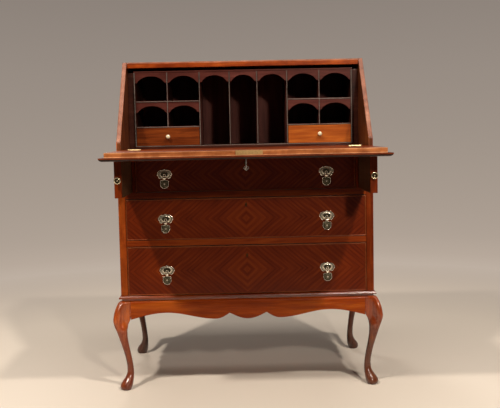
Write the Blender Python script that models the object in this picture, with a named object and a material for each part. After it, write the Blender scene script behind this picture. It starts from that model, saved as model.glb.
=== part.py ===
"""Fall-front writing bureau on a stand with four cabriole legs.

Metres, +Z up. While the pieces are laid out, X = 0 is the middle of the width, Y = 0 the
front of the carcase and Z = 0 the floor; the writer sits towards -Y. The root empty then
moves everything along Y, so that the origin lies on the floor under the middle of the
bounding box. The bureau is shown open: the fall is down on its two drawn lopers.
"""

import math

import bmesh
import bpy
from mathutils import Vector

# Clearances
SEAT_GAP = 0.0003
SLIDE_GAP = 0.001
CUT_OVERRUN = 0.002
UNION_BITE = 0.0006

# Carcase
CARCASE_WIDTH = 0.762
CARCASE_DEPTH = 0.440
TOTAL_HEIGHT = 1.000
SLOPE_ANGLE = math.radians(52)
SIDE_THICKNESS = 0.013
LINING_THICKNESS = 0.0085
TOP_THICKNESS = 0.018
TOP_CHAMFER = 0.004
BACK_THICKNESS = 0.008
BACK_INSET = 0.0035
BASE_THICKNESS = 0.0095
BASE_PROJECTION = 0.0065
RAIL_THICKNESS = 0.020
RAIL_WIDTH = 0.060
DUST_PANEL_THICKNESS = 0.008
DUST_PANEL_DROP = 0.004
HOUSING_THICKNESS = 0.009
EDGE_EASE = 0.0008
EASE_ANGLE = math.radians(40)
SMOOTH_ANGLE = math.radians(40)

# Stand
STAND_SLAB = 0.0085
STAND_PROJECTION = 0.0045
STAND_FILLET = 0.0055
FILLET_SETBACK = 0.002
APRON_DEPTH = 0.0525
APRON_THICKNESS = 0.018
APRON_PROUD = 0.004
POST_WIDTH = 0.028
KNEE_PROJECTION = 0.024
LEG_SIDES = 16

# Fall
FALL_THICKNESS = 0.023
FALL_REBATE = 0.0135
LIP_OVERHANG = 0.0125
FALL_TIP_SETBACK = 0.003
FALL_SIDE_GAP = 0.0006
LIP_MOULD_WIDTH = 0.0115
LIP_MOULD_SQUARE = 0.0012
HINGE_LENGTH = 0.038
HINGE_LEAF_WIDTH = 0.017
HINGE_LEAF_THICKNESS = 0.0018
HINGE_KNUCKLE_RADIUS = 0.0027
HINGE_PIN_RADIUS = 0.00135
HINGE_WEB_START = 0.0020
HINGE_GROOVE_GAP = 0.0006
HINGE_INSET = 0.0405
KNUCKLE_COUNT = 5
LOCK_WIDTH = 0.070
LOCK_DEPTH = 0.042
LOCK_THICKNESS = 0.0115
LOCK_OFFSET = 0.008
LOCK_PIN_BACKSET = 0.027
LOCK_WARD_RADIUS = 0.0095
LOCK_WARD_DEPTH = 0.0085
KEYHOLE_RADIUS = 0.0026
KEYHOLE_SLOT_WIDTH = 0.0028
KEYHOLE_SLOT_LENGTH = 0.0085
KEY_SHANK_RADIUS = 0.0018
KEY_REACH = 0.0055
KEY_STAND_OUT = 0.031
KEY_BOW_WIDTH = 0.0125
KEY_BOW_HEIGHT = 0.0125
KEY_BOW_THICKNESS = 0.0022
KEY_BOW_BAND = 0.0028
KEY_BIT_LENGTH = 0.0072
KEY_BIT_HEIGHT = 0.0045
KEY_BIT_THICKNESS = 0.0016

# Lopers
LOPER_WIDTH = 0.020
LOPER_LENGTH = 0.385
LOPER_DRAWN = 0.215
LOPER_KNOB_DROP = 0.0025
LOPER_KNOB_RADIUS = 0.0098
LOPER_KNOB_LENGTH = 0.015

# Long drawers
FRONT_THICKNESS = 0.018
BEAD_WIDTH = 0.003
BEAD_PROUD = 0.0016
KEYHOLE_DROP = 0.018
BOTTOM_KEYHOLE_DROP = 0.028
BOX_SIDE_GAP = 0.0005
BOX_SIDE_THICKNESS = 0.008
BOX_BOTTOM_THICKNESS = 0.005
BOX_DROP = 0.010
BOX_BACK_GAP = 0.014

# Drop handles
HANDLE_SPREAD = 0.482
HANDLE_RAISE = 0.0025
PLATE_WIDTH = 0.045
PLATE_HEIGHT = 0.030
PLATE_RIM_HEIGHT = 0.0022
PLATE_BOSS_RADIUS = 0.0065
PLATE_BOSS_HEIGHT = 0.0050
DROP_PIVOT_BELOW = 0.0120
DROP_PIVOT_PROUD = 0.0060
DROP_LENGTH = 0.0310
DROP_WIDTH = 0.0265
DROP_NECK_LENGTH = 0.0044
DROP_THICKNESS = 0.0032
DROP_EYE_RADIUS = 0.0027
DROP_EYE_WALL = 0.0012
DROP_EYE_WIDTH = 0.0040
DROP_PIN_GAP = 0.0004
LUG_WIDTH = 0.0022
LUG_GAP = 0.0004

# Pigeonhole unit
UNIT_FORWARD = 0.0007
FILLER_WIDTH = 0.0208
UNIT_TOP_BELOW = 0.011
UNIT_BOARD = 0.0038
UNIT_FLOOR = 0.009
VALANCE_THICKNESS = 0.003
VALANCE_SETBACK = 0.002
ARCH_SHOULDER_SHARE = 0.90
ARCH_TURN = math.radians(64)
ARCH_STEPS = 12
FILLER_THICKNESS = 0.006
FILLER_SETBACK = 0.008
SMALL_FRONT_THICKNESS = 0.010
SMALL_BOX_WALL = 0.005
SMALL_BOX_DROP = 0.006
SMALL_KNOB_RADIUS = 0.0068
SMALL_KNOB_LENGTH = 0.0135

# Shapes, as shares of the sizes above
# Levels of the writing surface and of the stand's top, of the total height
BED_SHARE = 0.7255
STAND_SHARE = 0.2737
# Heights of the top and the middle drawer's openings, of the three openings' sum
TOP_OPENING_SHARE = 0.2769
MIDDLE_OPENING_SHARE = 0.3291
# Leg stations: height, how far the outer line stands out (of the knee's projection), how
# far the inner line lies inside the carcase's corner (of the post's width), and squareness
LEG_SHARES = (
    (1.000, 0.32, 1.000, 6.0),
    (0.965, 0.57, 1.000, 6.0),
    (0.916, 0.80, 1.000, 5.5),
    (0.871, 0.92, 1.000, 5.0),
    (0.818, 1.00, 0.910, 4.5),
    (0.765, 0.93, 0.680, 4.0),
    (0.705, 0.76, 0.560, 3.6),
    (0.641, 0.55, 0.540, 3.2),
    (0.588, 0.39, 0.562, 2.9),
    (0.528, 0.20, 0.622, 2.7),
    (0.475, 0.05, 0.697, 2.5),
    (0.415, -0.11, 0.789, 2.4),
    (0.358, -0.23, 0.870, 2.3),
    (0.294, -0.34, 0.956, 2.2),
    (0.234, -0.38, 1.015, 2.1),
    (0.181, -0.32, 1.040, 2.1),
    (0.136, -0.11, 1.024, 2.0),
    (0.098, 0.20, 0.993, 2.0),
    (0.064, 0.43, 0.943, 2.0),
    (0.038, 0.50, 0.870, 2.0),
    (0.014, 0.40, 0.765, 2.0),
    (0.000, 0.27, 0.710, 2.0),
)
# The apron's lower edge, from the middle out, each a share of the half length and a share
# of the apron's depth: the middle lobe's lowest point, the cusp beside it, the low point
# outside the cusp, the arch's crown and the end
LOBE_SHARES = (0.000, 1.000)
CUSP_SHARES = (0.158, 0.650)
LOW_SHARES = (0.272, 0.980)
CROWN_SHARES = (0.700, 0.573)
END_SHARES = (1.000, 0.937)
APRON_STEPS = 5
BACK_APRON_SHARE = 0.75
# Mouldings, bottom to top: height share and how much of the projection stands out
BASE_PROFILE_SHARES = (
    (0.0, 1.0), (0.14, 1.0), (0.38, 0.93), (0.62, 0.74), (0.82, 0.44), (0.94, 0.16), (1.0, 0.0),
)
STAND_PROFILE_SHARES = ((0.0, 1.0), (0.22, 0.95), (0.50, 0.74), (0.75, 0.38), (0.92, 0.0))
# The bead round a drawer's front: share of its width from the edge, share of its height
BEAD_SHARES = ((0.0, 0.0), (0.25, 1.0), (0.75, 1.0), (1.0, 0.0))
# Thumbnail moulding round the fall's lip: steps of its quarter round
LIP_STEPS = 8
# The drop's outline below its neck: length share and half width share
DROP_SHARES = (
    (0.00, 0.24), (0.08, 0.26), (0.11, 0.68), (0.16, 0.84), (0.27, 0.93), (0.44, 1.00),
    (0.60, 0.99), (0.74, 0.89), (0.86, 0.68), (0.95, 0.40), (1.00, 0.00),
)
# The plate's rim and boss, from the seat out: size share and height share
PLATE_RING_SHARES = ((1.0, 0.0), (1.0, 0.55), (0.93, 1.0), (0.84, 1.0), (0.76, 0.55))
PLATE_BOSS_SHARES = ((1.0, 0.24), (0.85, 1.0), (0.5, 1.0))
# The drop's body from back to front: size share and share of half its thickness
DROP_RING_SHARES = (
    (0.80, 1.0), (1.00, 0.33), (1.00, -0.33), (0.92, -1.0), (0.80, -1.0), (0.70, -0.5),
)
DROP_NECK_SHARE = 0.8
PLATE_POINTS = 32
PLATE_LOBES = 8
PLATE_LOBE_SHARE = 0.08
# The pigeonhole unit's uprights: shares of the span between its end panels' middles
BAY_SHARES = (-0.5000, -0.3505, -0.2019, -0.0637, 0.0637, 0.2019, 0.3505, 0.5000)
# The unit's levels, as shares of its inside height
SMALL_DRAWER_SHARE = 0.2465
LOWER_HOLE_SHARE = 0.3322
VALANCE_SHARE = 0.1427
# The rise of a valance's arches, as a share of the valance's depth
ARCH_RISE_SHARE = 0.65
# Turned knobs: length share from the seat, radius share
LOPER_KNOB_SHARES = (
    (0.00, 1.00), (0.12, 1.00), (0.20, 0.80), (0.24, 0.46), (0.50, 0.40),
    (0.60, 0.74), (0.72, 0.90), (0.86, 0.86), (0.93, 0.62), (0.90, 0.34), (1.00, 0.18),
)
SMALL_KNOB_SHARES = (
    (0.00, 0.62), (0.10, 0.62), (0.20, 0.40), (0.34, 0.42), (0.46, 0.80),
    (0.62, 1.00), (0.80, 0.92), (0.93, 0.58), (1.00, 0.20),
)
LOPER_KNOB_SIDES = 20
SMALL_KNOB_SIDES = 16
ROUND_SIDES = 12
GROOVE_SIDES = 24
BOW_SIDES = 18

# Heights
BED_HEIGHT = TOTAL_HEIGHT * BED_SHARE
STAND_HEIGHT = TOTAL_HEIGHT * STAND_SHARE
LEG_HEIGHT = STAND_HEIGHT - STAND_SLAB
BASE_BOTTOM = STAND_HEIGHT + STAND_FILLET
BASE_TOP = BASE_BOTTOM + BASE_THICKNESS
BED_BOTTOM = BED_HEIGHT - FALL_THICKNESS
OPENINGS = BED_BOTTOM - BASE_TOP - RAIL_THICKNESS - RAIL_THICKNESS
UPPER_RAIL_TOP = BED_BOTTOM - OPENINGS * TOP_OPENING_SHARE
UPPER_RAIL_BOTTOM = UPPER_RAIL_TOP - RAIL_THICKNESS
LOWER_RAIL_TOP = UPPER_RAIL_BOTTOM - OPENINGS * MIDDLE_OPENING_SHARE
LOWER_RAIL_BOTTOM = LOWER_RAIL_TOP - RAIL_THICKNESS
TOP_BOTTOM = TOTAL_HEIGHT - TOP_THICKNESS
# Half widths
HALF_WIDTH = CARCASE_WIDTH / 2
HALF_INSIDE = HALF_WIDTH - SIDE_THICKNESS
HALF_OPENING = HALF_INSIDE - LINING_THICKNESS
HALF_TOP_OPENING = HALF_OPENING - LOPER_WIDTH - 2 * SLIDE_GAP - HOUSING_THICKNESS
HALF_UNIT = HALF_INSIDE - FILLER_WIDTH
# Depths
BACK_PANEL_BACK = CARCASE_DEPTH - BACK_INSET
BACK_PANEL_FRONT = BACK_PANEL_BACK - BACK_THICKNESS
INSIDE_DEPTH = BACK_PANEL_FRONT - SEAT_GAP
# The slope: the fall's rebate lies on the sides' sloping edges when it is closed
SLOPE_RISE = (FALL_REBATE - SEAT_GAP) / math.cos(SLOPE_ANGLE)
SLOPE_FOOT = BED_HEIGHT + SLOPE_RISE
SLOPE_SETBACK = (TOTAL_HEIGHT - SLOPE_FOOT) / math.tan(SLOPE_ANGLE)
UNIT_SETBACK = SLOPE_SETBACK - UNIT_FORWARD
SLOPE_LENGTH = (
    SLOPE_SETBACK * math.cos(SLOPE_ANGLE) + (TOTAL_HEIGHT - BED_HEIGHT) * math.sin(SLOPE_ANGLE)
)
FALL_TIP = SLOPE_LENGTH - FALL_TIP_SETBACK
FALL_PANEL_END = FALL_TIP - LIP_OVERHANG
FALL_END_GAP = 2 * SEAT_GAP
HINGE_AXIS_Y = -FALL_END_GAP / 2
FALL_INNER_END = -FALL_END_GAP
HINGE_X = HALF_INSIDE - HINGE_INSET
# The whole object's reach along Y, which centres it on the origin
FRONT_REACH = FALL_TIP
BACK_REACH = CARCASE_DEPTH + KNEE_PROJECTION
ROOT_Y = (FRONT_REACH - BACK_REACH) / 2

COLOURS = {
    "mahogany": ((0.30, 0.075, 0.025), 0.30, 0.0),
    "mahogany_veneer": ((0.24, 0.050, 0.020), 0.28, 0.0),
    "inside_wood": ((0.13, 0.045, 0.025), 0.50, 0.0),
    "plain_wood": ((0.42, 0.27, 0.14), 0.65, 0.0),
    "antique_brass": ((0.42, 0.33, 0.19), 0.38, 1.0),
    "bright_brass": ((0.72, 0.53, 0.26), 0.28, 1.0),
    "steel": ((0.46, 0.45, 0.43), 0.40, 1.0),
    "ivory": ((0.80, 0.70, 0.50), 0.35, 0.0),
}
ROOT_BODY = "root_frame"


def clear_scene():
    for old in list(bpy.data.objects):
        bpy.data.objects.remove(old)


def material(name):
    found = bpy.data.materials.get(name)
    if found:
        return found
    colour, roughness, metallic = COLOURS[name]
    made = bpy.data.materials.new(name)
    made.use_nodes = True
    shader = made.node_tree.nodes["Principled BSDF"]
    shader.inputs["Base Color"].default_value = (*colour, 1)
    shader.inputs["Roughness"].default_value = roughness
    shader.inputs["Metallic"].default_value = metallic
    return made


def empty(name, place, parent=None):
    """An empty whose place is given in the part's layout frame."""
    made = bpy.data.objects.new(name, None)
    bpy.context.collection.objects.link(made)
    made["place"] = tuple(place)
    made.parent = parent
    made.location = Vector(place) - Vector(parent["place"]) if parent else Vector(place)
    return made


def make(name, bm, finish, parent, pivot=None, smooth=False, cutter=False):
    """Turns a bmesh laid out in the part's frame into an object under its body's empty."""
    bmesh.ops.recalc_face_normals(bm, faces=bm.faces)
    if pivot is None:
        lows = [min(v.co[i] for v in bm.verts) for i in range(3)]
        highs = [max(v.co[i] for v in bm.verts) for i in range(3)]
        pivot = [(low + high) / 2 for low, high in zip(lows, highs)]
    bmesh.ops.translate(bm, vec=-Vector(pivot), verts=bm.verts)
    mesh = bpy.data.meshes.new(name)
    bm.to_mesh(mesh)
    bm.free()
    made = bpy.data.objects.new(name, mesh)
    bpy.context.collection.objects.link(made)
    made.parent = parent
    made.location = Vector(pivot) - Vector(parent["place"])
    if smooth:
        mesh.shade_smooth()
        mesh.set_sharp_from_angle(angle=SMOOTH_ANGLE)
    if cutter:
        made.hide_render = True
        made.display_type = "WIRE"
    else:
        mesh.materials.append(material(finish))
    return made


def combine(target, other, operation):
    step = target.modifiers.new(f"{operation.lower()}_{other.name}", "BOOLEAN")
    step.operation = operation
    step.solver = "EXACT"
    step.object = other


def cut(target, bm):
    count = sum(1 for m in target.modifiers if m.type == "BOOLEAN")
    tool = make(f"cut_{target.name}_{count}", bm, None, target.parent, cutter=True)
    combine(target, tool, "DIFFERENCE")


def join(target, bm):
    count = sum(1 for m in target.modifiers if m.type == "BOOLEAN")
    tool = make(f"add_{target.name}_{count}", bm, None, target.parent, cutter=True)
    combine(target, tool, "UNION")


def ease_edges(target):
    """Takes the sharpness off a plain board's edges."""
    step = target.modifiers.new("eased_edges", "BEVEL")
    step.width = EDGE_EASE
    step.segments = 1
    step.limit_method = "ANGLE"
    step.angle_limit = EASE_ANGLE


def block(low, high):
    """A box between two corners."""
    bm = bmesh.new()
    corners = [
        bm.verts.new((x, y, z))
        for x in (low[0], high[0])
        for y in (low[1], high[1])
        for z in (low[2], high[2])
    ]
    for face in ((0, 1, 3, 2), (4, 6, 7, 5), (0, 4, 5, 1), (2, 3, 7, 6), (0, 2, 6, 4), (1, 5, 7, 3)):
        bm.faces.new([corners[i] for i in face])
    return bm


def loft(rings):
    """A closed solid through rings of equally many points, capped at both ends."""
    bm = bmesh.new()
    rows = [[bm.verts.new(p) for p in ring] for ring in rings]
    count = len(rows[0])
    for low, high in zip(rows, rows[1:]):
        for i in range(count):
            j = (i + 1) % count
            bm.faces.new((low[i], low[j], high[j], high[i]))
    bm.faces.new(rows[0])
    bm.faces.new(rows[-1])
    return bm


def prism(outline, axis, low, high):
    """An outline drawn across an axis and extruded along it."""
    place = {
        "x": lambda p, d: (d, p[0], p[1]),
        "y": lambda p, d: (p[0], d, p[1]),
        "z": lambda p, d: (p[0], p[1], d),
    }[axis]
    return loft([[place(p, d) for p in outline] for d in (low, high)])


def circle(centre, radius, sides, turn=0.0):
    return [
        (
            centre[0] + radius * math.cos(turn + 2 * math.pi * i / sides),
            centre[1] + radius * math.sin(turn + 2 * math.pi * i / sides),
        )
        for i in range(sides)
    ]


def turned(centre, shares, radius, length, sides):
    """A turned piece that stands out towards -Y from its seat."""
    x, y, z = centre
    rings = []
    for along, across in shares:
        ring = circle((x, z), radius * across, sides)
        rings.append([(px, y - length * along, pz) for px, pz in ring])
    return loft(rings)


def moulded_slab(half_width, front, back, bottom, thickness, projection, profile):
    """A board whose front and side edges are moulded and whose back edge is square."""
    rings = []
    for up, out in profile:
        x = half_width + projection * out
        y = front - projection * out
        z = bottom + thickness * up
        rings.append([(-x, y, z), (x, y, z), (x, back, z), (-x, back, z)])
    return loft(rings)


def ring_bar(rows):
    """A closed solid from sections of equally many points that run round a hole."""
    bm = bmesh.new()
    sections = [[bm.verts.new(p) for p in row] for row in rows]
    for near, far in zip(sections, sections[1:] + sections[:1]):
        for i in range(len(near)):
            j = (i + 1) % len(near)
            bm.faces.new((near[i], near[j], far[j], far[i]))
    return bm


def cut_keyhole(front, height):
    """Round hole with a slot below it, through a drawer's front at its middle."""
    low, high = -CUT_OVERRUN, FRONT_THICKNESS + CUT_OVERRUN
    cut(front, prism(circle((0.0, height), KEYHOLE_RADIUS, ROUND_SIDES), "y", low, high))
    cut(
        front,
        block(
            (-KEYHOLE_SLOT_WIDTH / 2, low, height - KEYHOLE_SLOT_LENGTH),
            (KEYHOLE_SLOT_WIDTH / 2, high, height),
        ),
    )


def side_board(root, name, sign):
    """One side: the outer board with its sloping edge, and the lining below the bed."""
    outline = (
        (0.0, BASE_TOP + SEAT_GAP),
        (0.0, SLOPE_FOOT),
        (SLOPE_SETBACK, TOTAL_HEIGHT),
        (CARCASE_DEPTH, TOTAL_HEIGHT),
        (CARCASE_DEPTH, BASE_TOP + SEAT_GAP),
    )
    outer, inner = sign * HALF_WIDTH, sign * HALF_INSIDE
    board = make(name, prism(outline, "x", outer, inner), "mahogany", root)
    lining_x = sorted((inner + sign * UNION_BITE, sign * HALF_OPENING))
    join(
        board,
        block(
            (lining_x[0], 0.0, BASE_TOP + SEAT_GAP),
            (lining_x[1], INSIDE_DEPTH, BED_BOTTOM),
        ),
    )


def top_board(root):
    half = HALF_INSIDE - SEAT_GAP
    outline = (
        (SLOPE_SETBACK, TOP_BOTTOM),
        (SLOPE_SETBACK, TOTAL_HEIGHT - TOP_CHAMFER),
        (SLOPE_SETBACK + TOP_CHAMFER, TOTAL_HEIGHT),
        (CARCASE_DEPTH, TOTAL_HEIGHT),
        (CARCASE_DEPTH, TOP_BOTTOM),
    )
    make("top_board", prism(outline, "x", -half, half), "mahogany", root)


def writing_bed(root):
    """The fixed part of the writing surface, cut at its front edge for the two hinges."""
    half = HALF_INSIDE - SEAT_GAP
    bed = make(
        "writing_bed",
        block((-half, 0.0, BED_BOTTOM + SEAT_GAP), (half, INSIDE_DEPTH, BED_HEIGHT)),
        "mahogany",
        root,
    )
    for sign in (-1, 1):
        cut(bed, hinge_groove(sign))
        cut(bed, hinge_recess(sign, 1))


def hinge_span(sign, clearance=0.0):
    centre = sign * HINGE_X
    half = HINGE_LENGTH / 2 + clearance
    return centre - half, centre + half


def hinge_groove(sign):
    """The round channel that the knuckles turn in."""
    low, high = hinge_span(sign, SEAT_GAP)
    radius = HINGE_KNUCKLE_RADIUS + HINGE_GROOVE_GAP
    outline = circle((HINGE_AXIS_Y, BED_HEIGHT), radius, GROOVE_SIDES)
    return prism(outline, "x", low, high)


def hinge_recess(sign, way):
    """The shallow seat of one leaf: way is 1 for the bed's, -1 for the fall's."""
    low, high = hinge_span(sign, SEAT_GAP)
    edge = HINGE_AXIS_Y + way * (HINGE_LEAF_WIDTH + SEAT_GAP)
    near, far = sorted((HINGE_AXIS_Y, edge))
    bottom = BED_HEIGHT - HINGE_LEAF_THICKNESS - SEAT_GAP
    return block((low, near, bottom), (high, far, BED_HEIGHT + CUT_OVERRUN))


def hinge_leaf(parent, name, sign, way, pivot):
    """A leaf and its knuckles: the bed's leaf has the odd ones and holds the pin."""
    low, high = hinge_span(sign)
    pitch = HINGE_LENGTH / KNUCKLE_COUNT
    clear = HINGE_KNUCKLE_RADIUS + SEAT_GAP
    edge = HINGE_AXIS_Y + way * HINGE_LEAF_WIDTH
    start = HINGE_AXIS_Y + way * clear
    near, far = sorted((start, edge))
    leaf = make(
        name,
        block(
            (low, near, BED_HEIGHT - HINGE_LEAF_THICKNESS),
            (high, far, BED_HEIGHT),
        ),
        "bright_brass",
        parent,
        pivot=pivot,
    )
    mine = range(0, KNUCKLE_COUNT, 2) if way > 0 else range(1, KNUCKLE_COUNT, 2)
    for i in mine:
        left = low + i * pitch + (SEAT_GAP / 2 if i else 0.0)
        right = low + (i + 1) * pitch - (SEAT_GAP / 2 if i < KNUCKLE_COUNT - 1 else 0.0)
        barrel = prism(
            circle((HINGE_AXIS_Y, BED_HEIGHT), HINGE_KNUCKLE_RADIUS, ROUND_SIDES), "x", left, right
        )
        join(leaf, barrel)
        web_start = HINGE_AXIS_Y + way * HINGE_WEB_START
        web_near, web_far = sorted((web_start, start + way * UNION_BITE))
        join(
            leaf,
            block(
                (left, web_near, BED_HEIGHT - HINGE_LEAF_THICKNESS),
                (right, web_far, BED_HEIGHT),
            ),
        )
    if way > 0:
        pin = circle((HINGE_AXIS_Y, BED_HEIGHT), HINGE_PIN_RADIUS, ROUND_SIDES)
        join(leaf, prism(pin, "x", low + UNION_BITE, high - UNION_BITE))
    else:
        bore = circle((HINGE_AXIS_Y, BED_HEIGHT), HINGE_PIN_RADIUS + SEAT_GAP, ROUND_SIDES)
        cut(leaf, prism(bore, "x", low - CUT_OVERRUN, high + CUT_OVERRUN))


def back_panel(root):
    half = HALF_INSIDE - SEAT_GAP
    make(
        "back_panel",
        block(
            (-half, BACK_PANEL_FRONT, BASE_TOP + SEAT_GAP),
            (half, BACK_PANEL_BACK, TOP_BOTTOM - SEAT_GAP),
        ),
        "inside_wood",
        root,
    )


def base_board(root):
    make(
        "base_board",
        moulded_slab(
            HALF_WIDTH, 0.0, CARCASE_DEPTH, BASE_BOTTOM + SEAT_GAP,
            BASE_THICKNESS - SEAT_GAP, BASE_PROJECTION, BASE_PROFILE_SHARES,
        ),
        "mahogany",
        root,
    )


def drawer_rail(root, name, bottom, top):
    """A rail with its runners, which frame a thinner dust panel."""
    half = HALF_OPENING - SEAT_GAP
    rail = make(name, block((-half, 0.0, bottom), (half, INSIDE_DEPTH, top)), "mahogany", root)
    inner = half - RAIL_WIDTH
    panel_top = top - DUST_PANEL_DROP
    for low, high in (
        (panel_top, top + CUT_OVERRUN),
        (bottom - CUT_OVERRUN, panel_top - DUST_PANEL_THICKNESS),
    ):
        cut(rail, block((-inner, RAIL_WIDTH, low), (inner, INSIDE_DEPTH - RAIL_WIDTH, high)))


def loper_housing(root, name, sign):
    """The upright between a loper's channel and the top drawer."""
    near, far = sorted((sign * HALF_TOP_OPENING, sign * (HALF_TOP_OPENING + HOUSING_THICKNESS)))
    ease_edges(
        make(
            name,
            block(
                (near, 0.0, UPPER_RAIL_TOP + SEAT_GAP),
                (far, INSIDE_DEPTH, BED_BOTTOM),
            ),
            "mahogany",
            root,
        )
    )


def stand_slab(root):
    """The stand's rounded top, with the narrower fillet that the carcase sits on."""
    rise = STAND_SLAB - SEAT_GAP
    levels = [
        (LEG_HEIGHT + SEAT_GAP + rise * up, STAND_PROJECTION * out)
        for up, out in STAND_PROFILE_SHARES
    ]
    levels += [(STAND_HEIGHT, -FILLET_SETBACK), (BASE_BOTTOM, -FILLET_SETBACK)]
    rings = []
    for z, out in levels:
        x = HALF_WIDTH + out
        rings.append([(-x, -out, z), (x, -out, z), (x, CARCASE_DEPTH, z), (-x, CARCASE_DEPTH, z)])
    make("stand_top", loft(rings), "mahogany", root)


def leg(root, name, side, front):
    """A cabriole leg. Its sections are rounded squares whose middles lie on the corner's
    diagonal; side and front say which way they stand out."""
    corner_x = side * HALF_WIDTH
    corner_y = 0.0 if front < 0 else CARCASE_DEPTH
    rings = []
    for up, out_share, in_share, square in reversed(LEG_SHARES):
        outer = KNEE_PROJECTION * out_share
        inner = -POST_WIDTH * in_share
        middle, half = (outer + inner) / 2, (outer - inner) / 2
        ring = []
        for i in range(LEG_SIDES):
            angle = 2 * math.pi * i / LEG_SIDES
            across, along = (
                middle + half * math.copysign(abs(v) ** (2 / square), v)
                for v in (math.cos(angle), math.sin(angle))
            )
            ring.append((corner_x + side * across, corner_y + front * along, LEG_HEIGHT * up))
        rings.append(ring)
    make(name, loft(rings), "mahogany", root, smooth=True)


def slow_start(t):
    return 1 - math.cos(math.pi / 2 * t)


def slow_end(t):
    return math.sin(math.pi / 2 * t)


def slow_both(t):
    return (1 - math.cos(math.pi * t)) / 2


def apron_edge(half_length, depth):
    """The lower edge from the middle to one end, as (along, below the top) pairs."""
    points = []
    for (a, down_a), (b, down_b), ease in (
        (LOBE_SHARES, CUSP_SHARES, slow_start),
        (CUSP_SHARES, LOW_SHARES, slow_end),
        (LOW_SHARES, CROWN_SHARES, slow_both),
        (CROWN_SHARES, END_SHARES, slow_start),
    ):
        for i in range(APRON_STEPS):
            t = i / APRON_STEPS
            points.append((a + (b - a) * t, down_a + (down_b - down_a) * ease(t)))
    points.append(END_SHARES)
    return [(half_length * along, depth * down) for along, down in points]


def apron_outline(half_length, middle, depth):
    edge = apron_edge(half_length, depth)
    right = [(middle + along, LEG_HEIGHT - down) for along, down in edge]
    left = [(middle - along, LEG_HEIGHT - down) for along, down in reversed(edge[1:])]
    return left + right + [(middle + half_length, LEG_HEIGHT), (middle - half_length, LEG_HEIGHT)]


def aprons(root):
    half_front = HALF_WIDTH - POST_WIDTH - SEAT_GAP
    front = (-APRON_PROUD, APRON_THICKNESS - APRON_PROUD)
    back = (CARCASE_DEPTH - APRON_THICKNESS, CARCASE_DEPTH)
    outline = apron_outline(half_front, 0.0, APRON_DEPTH)
    make("apron_front", prism(outline, "y", *front), "mahogany", root, smooth=True)
    depth = APRON_DEPTH * BACK_APRON_SHARE
    make(
        "apron_back",
        block((-half_front, back[0], LEG_HEIGHT - depth), (half_front, back[1], LEG_HEIGHT)),
        "mahogany",
        root,
    )
    half_side = CARCASE_DEPTH / 2 - POST_WIDTH - SEAT_GAP
    outline = apron_outline(half_side, CARCASE_DEPTH / 2, APRON_DEPTH)
    for name, side in (("apron_left", -1), ("apron_right", 1)):
        outer = side * (HALF_WIDTH + APRON_PROUD)
        inner = outer - side * APRON_THICKNESS
        make(name, prism(outline, "x", *sorted((outer, inner))), "mahogany", root, smooth=True)


def fall_lip():
    """The outer half of the fall, wider than the opening, with a thumbnail moulding."""
    depth = FALL_THICKNESS - FALL_REBATE
    stations = [(0.0, 0.0), (LIP_MOULD_SQUARE, 0.0)]
    for i in range(1, LIP_STEPS + 1):
        turn = math.pi / 2 * i / LIP_STEPS
        down = LIP_MOULD_SQUARE + (depth - LIP_MOULD_SQUARE) * math.sin(turn)
        stations.append((down, LIP_MOULD_WIDTH * (1 - math.cos(turn))))
    rings = []
    for down, inset in stations:
        x = HALF_WIDTH - inset
        y = -FALL_TIP + inset
        z = BED_HEIGHT - FALL_REBATE - down
        rings.append(
            [(-x, y, z), (x, y, z), (x, FALL_INNER_END, z), (-x, FALL_INNER_END, z)]
        )
    return loft(rings)


def fall_key_place():
    return (0.0, -FALL_PANEL_END + LOCK_PIN_BACKSET)


def lock_span():
    return LOCK_OFFSET - LOCK_WIDTH / 2, LOCK_OFFSET + LOCK_WIDTH / 2


def fall_board(fall):
    half = HALF_INSIDE - FALL_SIDE_GAP
    board = make("fall_board", fall_lip(), "mahogany", fall, pivot=fall["place"])
    join(
        board,
        block(
            (-half, -FALL_PANEL_END, BED_HEIGHT - FALL_REBATE - UNION_BITE),
            (half, FALL_INNER_END, BED_HEIGHT),
        ),
    )
    for sign in (-1, 1):
        cut(board, hinge_groove(sign))
        cut(board, hinge_recess(sign, -1))
    left, right = lock_span()
    cut(
        board,
        block(
            (left - SEAT_GAP, -FALL_PANEL_END - CUT_OVERRUN, BED_HEIGHT - LOCK_THICKNESS - SEAT_GAP),
            (right + SEAT_GAP, -FALL_PANEL_END + LOCK_DEPTH + SEAT_GAP, BED_HEIGHT + CUT_OVERRUN),
        ),
    )
    x, y = fall_key_place()
    low = BED_HEIGHT - FALL_THICKNESS - CUT_OVERRUN
    high = BED_HEIGHT - LOCK_THICKNESS
    cut(board, prism(circle((x, y), KEYHOLE_RADIUS, ROUND_SIDES), "z", low, high))
    cut(
        board,
        block(
            (x - KEYHOLE_SLOT_WIDTH / 2, y, low),
            (x + KEYHOLE_SLOT_WIDTH / 2, y + KEYHOLE_SLOT_LENGTH, high),
        ),
    )


def fall_lock(fall):
    """The lock's case, let into the fall, hollow where the key's bit turns."""
    left, right = lock_span()
    lock = make(
        "fall_lock",
        block(
            (left, -FALL_PANEL_END, BED_HEIGHT - LOCK_THICKNESS),
            (right, -FALL_PANEL_END + LOCK_DEPTH, BED_HEIGHT),
        ),
        "bright_brass",
        fall,
    )
    place = fall_key_place()
    low = BED_HEIGHT - LOCK_THICKNESS - CUT_OVERRUN
    high = BED_HEIGHT - LOCK_THICKNESS + LOCK_WARD_DEPTH
    cut(lock, prism(circle(place, LOCK_WARD_RADIUS, GROOVE_SIDES), "z", low, high))


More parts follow.
